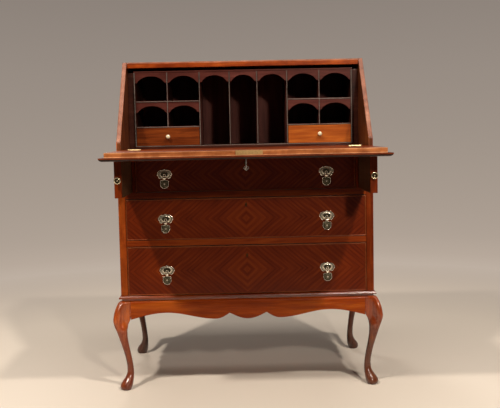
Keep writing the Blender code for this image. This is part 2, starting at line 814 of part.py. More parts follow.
def fall_key(key):
    """Shank, bit inside the lock, and an open bow that hangs below the fall."""
    x, y = fall_key_place()
    outer_face = BED_HEIGHT - FALL_THICKNESS
    lock_face = BED_HEIGHT - LOCK_THICKNESS
    bow_top = outer_face - KEY_STAND_OUT + KEY_BOW_HEIGHT
    shank = prism(
        circle((x, y), KEY_SHANK_RADIUS, ROUND_SIDES),
        "z",
        bow_top - KEY_BOW_BAND / 2,
        lock_face + KEY_REACH,
    )
    piece = make("fall_key", shank, "steel", key, pivot=key["place"])
    bit_top = lock_face + KEY_REACH - UNION_BITE
    join(
        piece,
        block(
            (x - KEY_BIT_THICKNESS / 2, y, bit_top - KEY_BIT_HEIGHT),
            (x + KEY_BIT_THICKNESS / 2, y + KEY_BIT_LENGTH, bit_top),
        ),
    )
    centre_z = bow_top - KEY_BOW_HEIGHT / 2
    band, half = KEY_BOW_BAND / 2, KEY_BOW_THICKNESS / 2
    rows = []
    for c, s in circle((0.0, 0.0), 1.0, BOW_SIDES):
        row = []
        for across, along in ((-band, -half), (band, -half), (band, half), (-band, half)):
            reach_x = KEY_BOW_WIDTH / 2 - band + across
            reach_z = KEY_BOW_HEIGHT / 2 - band + across
            row.append((x + reach_x * c, y + along, centre_z + reach_z * s))
        rows.append(row)
    join(piece, ring_bar(rows))


def loper(body, name, sign):
    x, y, z = body["place"]
    piece = make(
        name,
        block(
            (x - LOPER_WIDTH / 2, y, UPPER_RAIL_TOP + SEAT_GAP),
            (x + LOPER_WIDTH / 2, y + LOPER_LENGTH, BED_BOTTOM - SEAT_GAP),
        ),
        "mahogany",
        body,
        pivot=body["place"],
    )
    ease_edges(piece)
    make(
        f"{name}_knob",
        turned(
            (x, y - SEAT_GAP, z), LOPER_KNOB_SHARES, LOPER_KNOB_RADIUS, LOPER_KNOB_LENGTH,
            LOPER_KNOB_SIDES,
        ),
        "antique_brass",
        body,
        smooth=True,
    )


def drawer_front(body, name, half, bottom, top, keyhole_height):
    """A front whose edge carries a raised bead all round, with its keyhole."""
    y = FRONT_THICKNESS
    rings = [[(-half, y, bottom), (half, y, bottom), (half, y, top), (-half, y, top)]]
    for across, proud in BEAD_SHARES:
        inset, y = BEAD_WIDTH * across, -BEAD_PROUD * proud
        x, low, high = half - inset, bottom + inset, top - inset
        rings.append([(-x, y, low), (x, y, low), (x, y, high), (-x, y, high)])
    front = make(name, loft(rings), "mahogany_veneer", body, pivot=body["place"])
    cut_keyhole(front, keyhole_height)


def drawer_box(body, name, half, bottom, top):
    """Sides, back and bottom of a drawer, open above and closed in front by its front."""
    start = FRONT_THICKNESS + SEAT_GAP
    end = INSIDE_DEPTH - BOX_BACK_GAP
    box = make(
        name,
        block((-half, start, bottom), (half, end, top - BOX_DROP)),
        "plain_wood",
        body,
    )
    inner = half - BOX_SIDE_THICKNESS
    cut(
        box,
        block(
            (-inner, start - CUT_OVERRUN, bottom + BOX_BOTTOM_THICKNESS),
            (inner, end - BOX_SIDE_THICKNESS, top),
        ),
    )


def plate_outline(centre, scale):
    points = []
    for i in range(PLATE_POINTS):
        angle = 2 * math.pi * i / PLATE_POINTS
        lobe = 1 - PLATE_LOBE_SHARE * (1 - abs(math.cos(PLATE_LOBES / 2 * angle)))
        points.append(
            (
                centre[0] + PLATE_WIDTH / 2 * scale * lobe * math.cos(angle),
                centre[1] + PLATE_HEIGHT / 2 * scale * lobe * math.sin(angle),
            )
        )
    return points


def handle_plate(body, name, x, z):
    """A lobed plate with a rim and a boss, and two lugs that hold the drop's pin."""
    face = -SEAT_GAP
    rings = []
    for scale, proud in PLATE_RING_SHARES:
        y = face - PLATE_RIM_HEIGHT * proud
        rings.append([(px, y, pz) for px, pz in plate_outline((x, z), scale)])
    for scale, proud in PLATE_BOSS_SHARES:
        y = face - PLATE_BOSS_HEIGHT * proud
        rings.append([(px, y, pz) for px, pz in circle((x, z), PLATE_BOSS_RADIUS * scale, PLATE_POINTS)])
    plate = make(name, loft(rings), "antique_brass", body, smooth=True)
    pivot_y, pivot_z = -DROP_PIVOT_PROUD, z - DROP_PIVOT_BELOW
    inner = DROP_EYE_WIDTH / 2 + LUG_GAP
    for sign in (-1, 1):
        near, far = sorted((x + sign * inner, x + sign * (inner + LUG_WIDTH)))
        join(
            plate,
            block(
                (near, pivot_y - DROP_EYE_RADIUS, pivot_z - DROP_EYE_RADIUS),
                (far, face - UNION_BITE, pivot_z + DROP_EYE_RADIUS),
            ),
        )
    pin_radius = DROP_EYE_RADIUS - DROP_EYE_WALL - DROP_PIN_GAP
    pin_half = inner + LUG_WIDTH / 2
    pin = circle((pivot_y, pivot_z), pin_radius, ROUND_SIDES)
    join(plate, prism(pin, "x", x - pin_half, x + pin_half))


def drop_body(x, pivot_y, top, length):
    """The drop's body: a domed shield with a rim, drawn from back to front."""
    middle_z = top - length / 2
    half = DROP_THICKNESS / 2
    outline = [(DROP_WIDTH / 2 * across, top - length * along) for along, across in DROP_SHARES]
    full = outline + [(-px, pz) for px, pz in reversed(outline[:-1])]
    rings = []
    for scale, back in DROP_RING_SHARES:
        y = pivot_y + half * back
        rings.append([(x + px * scale, y, middle_z + (pz - middle_z) * scale) for px, pz in full])
    return loft(rings)


def handle_drop(swing, name):
    """The eye round its pin, the neck, and the hanging body."""
    x, y, z = swing["place"]
    bore = DROP_EYE_RADIUS - DROP_EYE_WALL
    half = DROP_EYE_WIDTH / 2
    section = ((bore, -half), (DROP_EYE_RADIUS, -half), (DROP_EYE_RADIUS, half), (bore, half))
    rows = []
    for c, s in circle((0.0, 0.0), 1.0, ROUND_SIDES):
        rows.append([(x + across, y + radius * c, z + radius * s) for radius, across in section])
    eye = ring_bar(rows)
    piece = make(name, eye, "antique_brass", swing, pivot=swing["place"], smooth=True)
    neck = half * DROP_NECK_SHARE
    join(
        piece,
        block(
            (x - neck, y - DROP_THICKNESS / 4, z - DROP_NECK_LENGTH - UNION_BITE),
            (x + neck, y + DROP_THICKNESS / 4, z - bore - DROP_EYE_WALL / 2),
        ),
    )
    join(piece, drop_body(x, y, z - DROP_NECK_LENGTH, DROP_LENGTH - DROP_NECK_LENGTH))


def long_drawers(root):
    """The three long drawers; the top one runs between the lopers' housings."""
    levels = (
        ("drawer_top", UPPER_RAIL_TOP, BED_BOTTOM, HALF_TOP_OPENING, KEYHOLE_DROP),
        ("drawer_middle", LOWER_RAIL_TOP, UPPER_RAIL_BOTTOM, HALF_OPENING, KEYHOLE_DROP),
        ("drawer_bottom", BASE_TOP, LOWER_RAIL_BOTTOM, HALF_OPENING, BOTTOM_KEYHOLE_DROP),
    )
    for name, low, high, half_opening, keyhole_drop in levels:
        body = empty(f"{name}_slide", (0.0, 0.0, (low + high) / 2), root)
        bottom, top = low + SEAT_GAP, high - SLIDE_GAP
        half = half_opening - SLIDE_GAP
        drawer_front(body, f"{name}_front", half, bottom, top, top - keyhole_drop)
        drawer_box(body, f"{name}_box", half - BOX_SIDE_GAP, bottom, top)
        for side, x in (("left", -HANDLE_SPREAD / 2), ("right", HANDLE_SPREAD / 2)):
            z = (bottom + top) / 2 + HANDLE_RAISE
            handle_plate(body, f"{name}_plate_{side}", x, z)
            swing = empty(
                f"{name}_swing_{side}", (x, -DROP_PIVOT_PROUD, z - DROP_PIVOT_BELOW), body
            )
            handle_drop(swing, f"{name}_drop_{side}")


def bay_lines():
    """The middles of the unit's uprights, left to right."""
    return [share * (2 * HALF_UNIT - UNIT_BOARD) for share in BAY_SHARES]


def unit_levels():
    """Heights of the unit's floor, the floor's top and the undersides of its three shelves."""
    floor = BED_HEIGHT + SEAT_GAP
    floor_top = floor + UNIT_FLOOR
    top = TOP_BOTTOM - UNIT_TOP_BELOW - UNIT_BOARD
    lower = floor_top + (top - floor_top) * SMALL_DRAWER_SHARE
    upper = lower + UNIT_BOARD + (top - floor_top) * LOWER_HOLE_SHARE
    return floor, floor_top, lower, upper, top


def valance_depth():
    floor_top, top = unit_levels()[1], unit_levels()[4]
    return (top - floor_top) * VALANCE_SHARE


def arch(left, right, spring, rise):
    """An arch between two uprights: level shoulders, then part of a round to its crown."""
    middle, half = (left + right) / 2, (right - left) / 2
    low = math.cos(ARCH_TURN)
    points = []
    for i in range(ARCH_STEPS + 1):
        turn = ARCH_TURN * (2 * i / ARCH_STEPS - 1)
        points.append(
            (
                middle + half * ARCH_SHOULDER_SHARE * math.sin(turn) / math.sin(ARCH_TURN),
                spring + rise * (math.cos(turn) - low) / (1 - low),
            )
        )
    return [(left, spring), *points, (right, spring)]


def valance_row(lines, underside, gap):
    """The scalloped strip under a shelf, notched where the uprights pass."""
    spring = underside - valance_depth()
    rise = valance_depth() * ARCH_RISE_SHARE
    seat = underside + UNION_BITE
    half_board = UNIT_BOARD / 2 + gap
    outline = []
    for i, (a, b) in enumerate(zip(lines, lines[1:])):
        left, right = a + half_board, b - half_board
        if i:
            outline.append((left, underside))
        outline.extend(arch(left, right, spring, rise))
        if i < len(lines) - 2:
            outline.append((right, underside))
    outline.append((lines[-1] - half_board, seat))
    outline.append((lines[0] + half_board, seat))
    return prism(
        outline, "y", UNIT_SETBACK + VALANCE_SETBACK, UNIT_SETBACK + VALANCE_SETBACK + VALANCE_THICKNESS
    )


def pigeonhole_unit(root):
    lines = bay_lines()
    floor, floor_top, lower, upper, top = unit_levels()
    board = UNIT_BOARD / 2
    deep = (UNIT_SETBACK, INSIDE_DEPTH)
    reach = lines[-1] + board

    unit_top = make(
        "pigeonhole_top",
        block((-reach, deep[0], top), (reach, deep[1], top + UNIT_BOARD)),
        "inside_wood",
        root,
    )
    join(unit_top, valance_row(lines, top, SEAT_GAP))

    end_top = top - SEAT_GAP
    outline = (
        (-reach, floor), (reach, floor), (reach, end_top), (reach - UNIT_BOARD, end_top),
        (reach - UNIT_BOARD, floor_top), (-reach + UNIT_BOARD, floor_top),
        (-reach + UNIT_BOARD, end_top), (-reach, end_top),
    )
    case = make("pigeonhole_case", prism(outline, "y", *deep), "inside_wood", root)
    front = UNIT_SETBACK + FILLER_SETBACK
    for sign in (-1, 1):
        near, far = sorted((sign * (reach - UNION_BITE), sign * (HALF_INSIDE - SEAT_GAP)))
        join(case, block((near, front, floor), (far, front + FILLER_THICKNESS, end_top)))

    for name, middle in zip(
        ("divider_outer_left", "divider_inner_left", "divider_inner_right", "divider_outer_right"),
        lines[2:6],
    ):
        make(
            name,
            block((middle - board, deep[0], floor_top + SEAT_GAP), (middle + board, deep[1], end_top)),
            "inside_wood",
            root,
        )

    for name, (start, middle, end) in (
        ("pigeonhole_nest_left", lines[0:3]),
        ("pigeonhole_nest_right", lines[5:8]),
    ):
        left, right = start + board + SEAT_GAP, end - board - SEAT_GAP
        near, far = middle - board, middle + board
        outline = (
            (left, lower), (right, lower), (right, lower + UNIT_BOARD), (far, lower + UNIT_BOARD),
            (far, upper), (right, upper), (right, upper + UNIT_BOARD), (far, upper + UNIT_BOARD),
            (far, end_top), (near, end_top), (near, upper + UNIT_BOARD), (left, upper + UNIT_BOARD),
            (left, upper), (near, upper), (near, lower + UNIT_BOARD), (left, lower + UNIT_BOARD),
        )
        nest = make(name, prism(outline, "y", *deep), "inside_wood", root)
        for a, b in ((start, middle), (middle, end)):
            gap = -UNION_BITE
            pair = (a + (SEAT_GAP if a == start else gap), b - (SEAT_GAP if b == end else gap))
            join(nest, valance_row(pair, upper, 0.0))


def small_drawers(root):
    lines = bay_lines()
    floor_top, lower = unit_levels()[1:3]
    board = UNIT_BOARD / 2
    for name, start, end in (
        ("small_drawer_left", lines[0], lines[2]),
        ("small_drawer_right", lines[5], lines[7]),
    ):
        left, right = start + board + SLIDE_GAP, end - board - SLIDE_GAP
        bottom, top = floor_top + SEAT_GAP, lower - SLIDE_GAP
        body = empty(
            f"{name}_slide", ((left + right) / 2, UNIT_SETBACK, (bottom + top) / 2), root
        )
        back = INSIDE_DEPTH - BOX_BACK_GAP
        box = make(
            name,
            block((left, UNIT_SETBACK, bottom), (right, back, top)),
            "mahogany_veneer",
            body,
            pivot=body["place"],
        )
        inner = UNIT_SETBACK + SMALL_FRONT_THICKNESS
        cut(
            box,
            block(
                (left + SMALL_BOX_WALL, inner, bottom + SMALL_BOX_WALL),
                (right - SMALL_BOX_WALL, back - SMALL_BOX_WALL, top + CUT_OVERRUN),
            ),
        )
        cut(
            box,
            block(
                (left - CUT_OVERRUN, inner, top - SMALL_BOX_DROP),
                (right + CUT_OVERRUN, back + CUT_OVERRUN, top + CUT_OVERRUN),
            ),
        )
        x, y, z = body["place"]
        make(
            f"{name}_knob",
            turned(
                (x, y - SEAT_GAP, z), SMALL_KNOB_SHARES, SMALL_KNOB_RADIUS, SMALL_KNOB_LENGTH,
                SMALL_KNOB_SIDES,
            ),
            "ivory",
            body,
            smooth=True,
        )


def fall(root):
    body = empty("fall_swing", (0.0, HINGE_AXIS_Y, BED_HEIGHT), root)
    fall_board(body)
    fall_lock(body)
    x, y = fall_key_place()
    key = empty("key_turn", (x, y, BED_HEIGHT - FALL_THICKNESS), body)
    fall_key(key)
    for side, sign in (("left", -1), ("right", 1)):
        hinge_leaf(body, f"fall_leaf_{side}", sign, -1, body["place"])
        hinge_leaf(root, f"bed_leaf_{side}", sign, 1, None)


def lopers(root):
    x = HALF_OPENING - SLIDE_GAP - LOPER_WIDTH / 2
    z = (UPPER_RAIL_TOP + BED_BOTTOM) / 2 - LOPER_KNOB_DROP
    for name, sign in (("loper_left", -1), ("loper_right", 1)):
        body = empty(f"{name}_slide", (sign * x, -LOPER_DRAWN, z), root)
        loper(body, name, sign)


def build():
    clear_scene()
    root = empty(ROOT_BODY, (0.0, 0.0, 0.0))
    root.location = (0.0, ROOT_Y, 0.0)
    for name, sign in (("side_left", -1), ("side_right", 1)):
        side_board(root, name, sign)
    top_board(root)
    writing_bed(root)
    back_panel(root)
    base_board(root)
    drawer_rail(root, "drawer_rail_upper", UPPER_RAIL_BOTTOM, UPPER_RAIL_TOP)
    drawer_rail(root, "drawer_rail_lower", LOWER_RAIL_BOTTOM, LOWER_RAIL_TOP)
    for name, sign in (("loper_housing_left", -1), ("loper_housing_right", 1)):
        loper_housing(root, name, sign)
    stand_slab(root)
    for name, side, front in (
        ("leg_front_left", -1, -1),
        ("leg_front_right", 1, -1),
        ("leg_back_left", -1, 1),
        ("leg_back_right", 1, 1),
    ):
        leg(root, name, side, front)
    aprons(root)
    fall(root)
    lopers(root)
    long_drawers(root)
    pigeonhole_unit(root)
    small_drawers(root)


build()
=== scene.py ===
"""The looks of the fall-front writing bureau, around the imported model.

Metres, +Z up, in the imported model's frame. Every new mesh is made where it belongs at rest,
with its object at the origin, so texture coordinates are the same for all of the pieces.
"""

import math

import bmesh
import bpy
from mathutils import Matrix, Vector


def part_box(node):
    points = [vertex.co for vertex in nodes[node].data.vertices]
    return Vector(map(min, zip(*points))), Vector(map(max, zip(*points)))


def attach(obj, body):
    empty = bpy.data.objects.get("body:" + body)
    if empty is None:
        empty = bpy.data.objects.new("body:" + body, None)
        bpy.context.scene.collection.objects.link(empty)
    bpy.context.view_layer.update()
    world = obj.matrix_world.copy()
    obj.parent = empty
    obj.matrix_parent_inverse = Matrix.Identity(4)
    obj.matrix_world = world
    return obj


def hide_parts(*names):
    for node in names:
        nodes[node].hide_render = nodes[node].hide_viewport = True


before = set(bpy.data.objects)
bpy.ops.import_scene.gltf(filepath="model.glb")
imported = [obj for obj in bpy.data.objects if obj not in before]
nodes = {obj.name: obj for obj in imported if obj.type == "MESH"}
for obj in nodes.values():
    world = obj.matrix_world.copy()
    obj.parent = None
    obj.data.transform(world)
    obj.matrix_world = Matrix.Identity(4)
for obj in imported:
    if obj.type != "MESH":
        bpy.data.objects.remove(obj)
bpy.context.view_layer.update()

MM = 0.001
DRAWERS = ("top", "middle", "bottom")
SIDES = (("left", -1), ("right", 1))

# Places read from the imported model
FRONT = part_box("side_left")[0].y
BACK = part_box("side_left")[1].y
HALF_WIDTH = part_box("side_right")[1].x
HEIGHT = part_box("side_right")[1].z
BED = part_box("writing_bed")[1].z
UNIT_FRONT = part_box("pigeonhole_case")[0].y
FALL_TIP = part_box("fall_board")[0].y


# Meshes


def catmull_rom(a, b, c, d, t):
    """One coordinate of the curve that runs from b at t = 0 to c at t = 1."""
    square = (2 * a - 5 * b + 4 * c - d) * t * t
    cube = (3 * b - a - 3 * c + d) * t**3
    return 0.5 * (2 * b + (c - a) * t + square + cube)


def smooth_line(points, steps, closed=False):
    """A smooth curve through points of any dimension, in steps from point to point."""
    count = len(points)
    made = []
    for i in range(count if closed else count - 1):
        if closed:
            around = [points[(i + k) % count] for k in (-1, 0, 1, 2)]
        else:
            around = [points[min(max(i + k, 0), count - 1)] for k in (-1, 0, 1, 2)]
        for j in range(steps):
            made.append(tuple(catmull_rom(*values, j / steps) for values in zip(*around)))
    if not closed:
        made.append(tuple(points[-1]))
    return made


def mirrored(half):
    """A closed outline from its right half, which runs from the top to the bottom."""
    return half + tuple((-x, z) for x, z in half[-2:0:-1])


def add_loft(bm, rings, caps=(True, True), closed=False):
    """Bands from ring to ring: closed comes back to the first, else caps close the ends."""
    rows = [[bm.verts.new(point) for point in ring] for ring in rings]
    for low, high in zip(rows, rows[1:] + rows[:1] if closed else rows[1:]):
        for corners in zip(low, low[1:] + low[:1], high[1:] + high[:1], high):
            bm.faces.new(corners)
    for wanted, row in zip(caps, (rows[0], rows[-1])):
        if wanted and not closed:
            bm.faces.new(row)


def circle_turns(count):
    return [2 * math.pi * i / count for i in range(count)]


def add_turned(bm, centre, profile, sides, way=(0, -1, 0)):
    """Lathe work: the profile gives (distance from the seat along way, radius)."""
    turn = Vector((0, 0, 1)).rotation_difference(Vector(way)).to_matrix()
    rings = []
    for along, radius in profile:
        places = [(radius * math.cos(a), radius * math.sin(a), along) for a in circle_turns(sides)]
        rings.append([Vector(centre) + turn @ Vector(place) for place in places])
    add_loft(bm, rings)


def add_tube(bm, path, radius, sides, closed=False):
    """A round bar along a path of points."""
    path = [Vector(p) for p in path]
    count = len(path)
    turns = circle_turns(sides)
    rings, side = [], None
    for i, point in enumerate(path):
        before = path[i - 1] if closed or i else point
        after = path[(i + 1) % count] if closed or i + 1 < count else point
        ahead = (after - before).normalized()
        if side is None:
            side = ahead.orthogonal().normalized()
        side = (side - ahead * side.dot(ahead)).normalized()
        up = ahead.cross(side)
        rings.append([point + radius * (side * math.cos(a) + up * math.sin(a)) for a in turns])
    add_loft(bm, rings, closed=closed)


def add_box(bm, low, high):
    corners = [
        bm.verts.new((x, y, z))
        for x in (low[0], high[0])
        for y in (low[1], high[1])
        for z in (low[2], high[2])
    ]
    for face in (
        (0, 1, 3, 2), (4, 6, 7, 5), (0, 4, 5, 1), (2, 3, 7, 6), (0, 2, 6, 4), (1, 5, 7, 3),
    ):
        bm.faces.new([corners[i] for i in face])


def add_object(name, data):
    made = bpy.data.objects.new(name, data)
    bpy.context.scene.collection.objects.link(made)
    return made


def finish_mesh(bm, name, smooth_angle):
    """A mesh whose faces are shaded smooth, apart from edges sharper than the angle."""
    bmesh.ops.recalc_face_normals(bm, faces=bm.faces)
    mesh = bpy.data.meshes.new(name)
    bm.to_mesh(mesh)
    bm.free()
    mesh.shade_smooth()
    mesh.set_sharp_from_angle(angle=math.radians(smooth_angle))
    return mesh


def piece(name, bm, finish, body, replaced=(), smooth_angle=35):
    """A new piece in its place: finish is its material or materials."""
    made = add_object(name, finish_mesh(bm, name, smooth_angle))
    for material in finish if isinstance(finish, tuple) else (finish,):
        made.data.materials.append(material)
    if replaced:
        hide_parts(*replaced)
    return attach(made, body)


PACKED_SMOOTH_ANGLE = math.radians(31)
PACKED_BEVEL_ANGLE = math.radians(40)
WELD_DISTANCE = 0.00002


def smooth_group():
    """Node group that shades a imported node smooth, apart from its sharp edges."""
    group = bpy.data.node_groups.new("smooth_by_angle", "GeometryNodeTree")
    for way in ("INPUT", "OUTPUT"):
        group.interface.new_socket("Geometry", in_out=way, socket_type="NodeSocketGeometry")
    new, join = group.nodes.new, group.links.new
    source, result = new("NodeGroupInput"), new("NodeGroupOutput")
    angle = new("GeometryNodeInputMeshEdgeAngle")
    flat = new("FunctionNodeCompare")
    flat.data_type, flat.operation = "FLOAT", "LESS_EQUAL"
    flat.inputs["B"].default_value = PACKED_SMOOTH_ANGLE
    faces, edges = new("GeometryNodeSetShadeSmooth"), new("GeometryNodeSetShadeSmooth")
    edges.domain = "EDGE"
    join(angle.outputs["Unsigned Angle"], flat.inputs["A"])
    join(source.outputs[0], faces.inputs["Geometry"])
    join(faces.outputs[0], edges.inputs["Geometry"])
    join(flat.outputs[0], edges.inputs["Shade Smooth"])
    join(edges.outputs[0], result.inputs[0])
    return group


SMOOTH = smooth_group()


def dress(name, finish, width=0.0008, segments=2):
    """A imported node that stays: its material, softened edges and smooth shading."""
    made = nodes[name]
    made.data.materials.clear()
    made.data.materials.append(finish)
    made.modifiers.new("weld", "WELD").merge_threshold = WELD_DISTANCE
    if width:
        rounding = made.modifiers.new("rounding", "BEVEL")
        rounding.width = width
        rounding.segments = segments
        rounding.limit_method = "ANGLE"
        rounding.angle_limit = PACKED_BEVEL_ANGLE
    made.modifiers.new("smooth", "NODES").node_group = SMOOTH
    made.modifiers.new("weights", "WEIGHTED_NORMAL").keep_sharp = True


# Materials


class Shader:
    """A material and short ways to add to its node tree."""

    def __init__(self, name, **constants):
        self.material = bpy.data.materials.new(name)
        self.material.use_nodes = True
        self.tree = self.material.node_tree
        self.main = self.tree.nodes["Principled BSDF"]
        for socket, value in constants.items():
            self.main.inputs[socket.replace("_", " ")].default_value = value
        self.place = self.node("ShaderNodeTexCoord", {}).outputs["Object"]

    def link(self, source, target):
        self.tree.links.new(source, target)

    def node(self, kind, values, **settings):
        """A new node: values are for its inputs, by name or number, each a constant or a link."""
        made = self.tree.nodes.new(kind)
        for setting, value in settings.items():
            setattr(made, setting, value)
        for socket, value in values.items():
            if isinstance(value, bpy.types.NodeSocket):
                self.link(value, made.inputs[socket])
            else:
                made.inputs[socket].default_value = value
        return made

    def math(self, operation, a, b=0.5):
        return self.node("ShaderNodeMath", {0: a, 1: b}, operation=operation).outputs[0]

    def total(self, *parts):
        """The sum of sources, each with its weight."""
        result = None
        for source, weight in parts:
            share = self.math("MULTIPLY", source, weight)
            result = share if result is None else self.math("ADD", result, share)
        return result

    def stretch(self, source, scale):
        values = {"Vector": source, "Scale": scale}
        return self.node("ShaderNodeMapping", values).outputs["Vector"]

    def noise(self, source, scale, detail=3.0, roughness=0.55, distortion=0.0):
        values = {"Vector": source, "Scale": scale, "Detail": detail}
        values |= {"Roughness": roughness, "Distortion": distortion}
        return self.node("ShaderNodeTexNoise", values).outputs["Fac"]

    def ramp(self, source, stops):
        made = self.node("ShaderNodeValToRGB", {0: source})
        elements = made.color_ramp.elements
        while len(elements) < len(stops):
            elements.new(0.5)
        for element, (place, colour) in zip(elements, stops):
            element.position = place
            element.color = (*colour, 1)
        return made.outputs["Color"]

    def spread(self, source, low, high, to_low, to_high):
        """The source's range from low to high, stretched or turned to another range."""
        values = dict(enumerate((source, low, high, to_low, to_high)))
        return self.node("ShaderNodeMapRange", values).outputs[0]

    def mix(self, share, a, b, blend="MIX"):
        a, b = ((*tone, 1) if isinstance(tone, tuple) else tone for tone in (a, b))
        values = {0: share, 6: a, 7: b}
        return self.node("ShaderNodeMix", values, data_type="RGBA", blend_type=blend).outputs[2]

    def axes(self):
        """The x, y and z of a point of the object."""
        return self.node("ShaderNodeSeparateXYZ", {0: self.place}).outputs

    def combine(self, x, y, z):
        return self.node("ShaderNodeCombineXYZ", {0: x, 1: y, 2: z}).outputs[0]

    def bump(self, height, distance, strength):
        values = {"Height": height, "Distance": distance, "Strength": strength}
        self.link(self.node("ShaderNodeBump", values).outputs[0], self.main.inputs["Normal"])

    def colour(self, source):
        self.link(source, self.main.inputs["Base Color"])

    def rough(self, source):
        self.link(source, self.main.inputs["Roughness"])


GRAIN = {"x": (1, 14, 14), "y": (14, 1, 14), "z": (14, 14, 1)}
PORES_FINER = 6
CLOUD_WEIGHT = 0.25
PORE_DEPTH = 0.00012
POLISH = {"Coat_Weight": 0.14, "Coat_Roughness": 0.09, "Specular_IOR_Level": 0.1}
GLOSS = {"Coat_Weight": 1.0, "Coat_Roughness": 0.18, "Specular_IOR_Level": 0.5}
LEG_POLISH = {"Coat_Weight": 0.8, "Coat_Roughness": 0.16, "Specular_IOR_Level": 0.3}
MATT = {"Specular_IOR_Level": 0.12}
STRIPE_PITCH = 0.0115
STRIPE_SLANT = math.radians(48)
STRIPE_WANDER = 17.0
BEAD = 0.003
SHADE_LINE = 0.0018


def wood_colour(shader, along, tones, stripe=0.35):
    """Grain along one axis: tones are dark, middle and light, stripe the weight of wide bands."""
    scale = GRAIN[along]
    grown = shader.stretch(shader.place, scale)
    grain = shader.noise(grown, 7.0, 6.0, 0.62, 0.5)
    bands = shader.noise(grown, 1.6, 2.0, 0.5, 0.3)
    cloud = shader.noise(shader.place, 4.0, 2.0, 0.5)
    finer = [s if s == 1 else s * PORES_FINER for s in scale]
    fine = shader.noise(shader.stretch(shader.place, finer), 14.0, 2.0)
    tone = shader.total(
        (bands, stripe), (grain, 1 - CLOUD_WEIGHT - stripe), (cloud, CLOUD_WEIGHT)
    )
    dark, middle, light = tones
    colour = shader.ramp(tone, ((0.36, dark), (0.5, middle), (0.64, light)))
    pores = shader.spread(fine, 0.56, 0.7, 0.0, 1.0)
    pore_share = shader.math("MULTIPLY", pores, 0.4)
    colour = shader.mix(pore_share, colour, tuple(c * 0.4 for c in dark))
    return colour, grain, pores


def old_polish(shader, colour, share):
    """Patches where the polish has darkened."""
    patches = shader.noise(shader.stretch(shader.place, (0.6, 1, 0.6)), 34.0, 4.0, 0.65)
    dark = shader.mix(1.0, colour, (0.5, 0.4, 0.34), "MULTIPLY")
    return shader.mix(shader.spread(patches, 0.6, 0.42, 0.0, share), colour, dark)


def finish_wood(shader, colour, grain, pores, roughness):
    """The end of every wood: its gloss follows the grain, and its pores lie deeper."""
    shader.colour(colour)
    shader.rough(shader.spread(grain, 0.3, 0.7, *roughness))
    shader.bump(shader.math("SUBTRACT", grain, pores), PORE_DEPTH, 0.3)
    return shader.material


def wood(name, along, tones, roughness=(0.3, 0.44), stripe=0.35, polish=POLISH):
    shader = Shader(name, **polish)
    colour, grain, pores = wood_colour(shader, along, tones, stripe)
    return finish_wood(shader, colour, grain, pores, roughness)


def leg_finish(name, tones, low, high, share):
    """Polished wood that turns darker and browner from one height down to another."""
    shader = Shader(name, **LEG_POLISH)
    colour, grain, pores = wood_colour(shader, "z", tones)
    patches = shader.noise(shader.place, 22.0, 3.0)
    height = shader.math("ADD", shader.axes()[2], shader.math("MULTIPLY", patches, 0.06))
    dark = shader.mix(share, colour, (0.05, 0.021, 0.01))
    colour = shader.mix(shader.spread(height, low, high, 1.0, 0.0), colour, dark)
    colour = old_polish(shader, colour, 0.4)
    return finish_wood(shader, colour, grain, pores, (0.22, 0.36))


def parted_wood(name, along, tones, parts, age=0.0):
    """Wood whose tone changes at planes: each part is its limits, grain and tones."""
    shader = Shader(name, **POLISH)
    colour, grain, pores = wood_colour(shader, along, tones)
    axes = shader.axes()
    for limits, part_along, part_tones in parts:
        share = None
        for axis, operation, place in limits:
            inside = shader.math(operation, axes["xyz".index(axis)], place)
            share = inside if share is None else shader.math("MULTIPLY", share, inside)
        colour = shader.mix(share, colour, wood_colour(shader, part_along, part_tones)[0])
    if age:
        colour = old_polish(shader, colour, age)
    return finish_wood(shader, colour, grain, pores, (0.32, 0.46))


def veneer(name, low, high):
    """Striped veneer in four matched quarters, with a solid bead in a painted highlight tone and a
    painted shadow line at its foot.
    """
    middle_z, half_height = (low.z + high.z) / 2, (high.z - low.z) / 2
    shader = Shader(name, **POLISH)
    x, y, z = shader.axes()
    out = shader.math("ABSOLUTE", x)
    up = shader.math("ABSOLUTE", shader.math("SUBTRACT", z, middle_z))
    slant_cos, slant_sin = math.cos(STRIPE_SLANT), math.sin(STRIPE_SLANT)
    across = shader.total((out, slant_cos), (up, slant_sin))
    along = shader.total((up, slant_cos), (out, -slant_sin))
    place = shader.combine(along, across, y)
    wander = shader.noise(shader.stretch(place, (0.6, 2.2, 1)), 6.0, 2.0, 0.5)
    phase = shader.total((across, 2 * math.pi / STRIPE_PITCH), (wander, STRIPE_WANDER))
    wave = shader.spread(shader.math("SINE", phase), -1.0, 1.0, 0.32, 0.68)
    streaks = shader.noise(shader.stretch(place, (0.5, 10, 1)), 9.0, 3.0, 0.6, 0.15)
    fine = shader.noise(shader.stretch(place, (1, 26, 1)), 16.0, 3.0, 0.6)
    cloud = shader.noise(place, 7.0, 2.0)
    tone = shader.total((wave, 0.22), (streaks, 0.28), (fine, 0.24), (cloud, 0.26))
    dark, middle, light = QUARTERED
    colour = shader.ramp(tone, ((0.38, dark), (0.5, middle), (0.62, light)))
    # The solid bead's lighter tone is partly a painted highlight
    beside = shader.math("GREATER_THAN", out, high.x - BEAD)
    over = shader.math("GREATER_THAN", up, half_height - BEAD)
    bead = shader.math("MAXIMUM", beside, over)
    colour = shader.mix(bead, colour, wood_colour(shader, "x", BEADING_AND_HIGHLIGHT)[0])
    # A painted shadow line along the drawer front's lower edge
    painted_shadow_line = shader.math("LESS_THAN", z, low.z + 0.6 * SHADE_LINE)
    shader.colour(shader.mix(painted_shadow_line, colour, PAINTED_SHADE[0]))
    shader.rough(shader.spread(fine, 0.3, 0.7, 0.28, 0.42))
    shader.bump(fine, 0.00008, 0.25)
    return shader.material


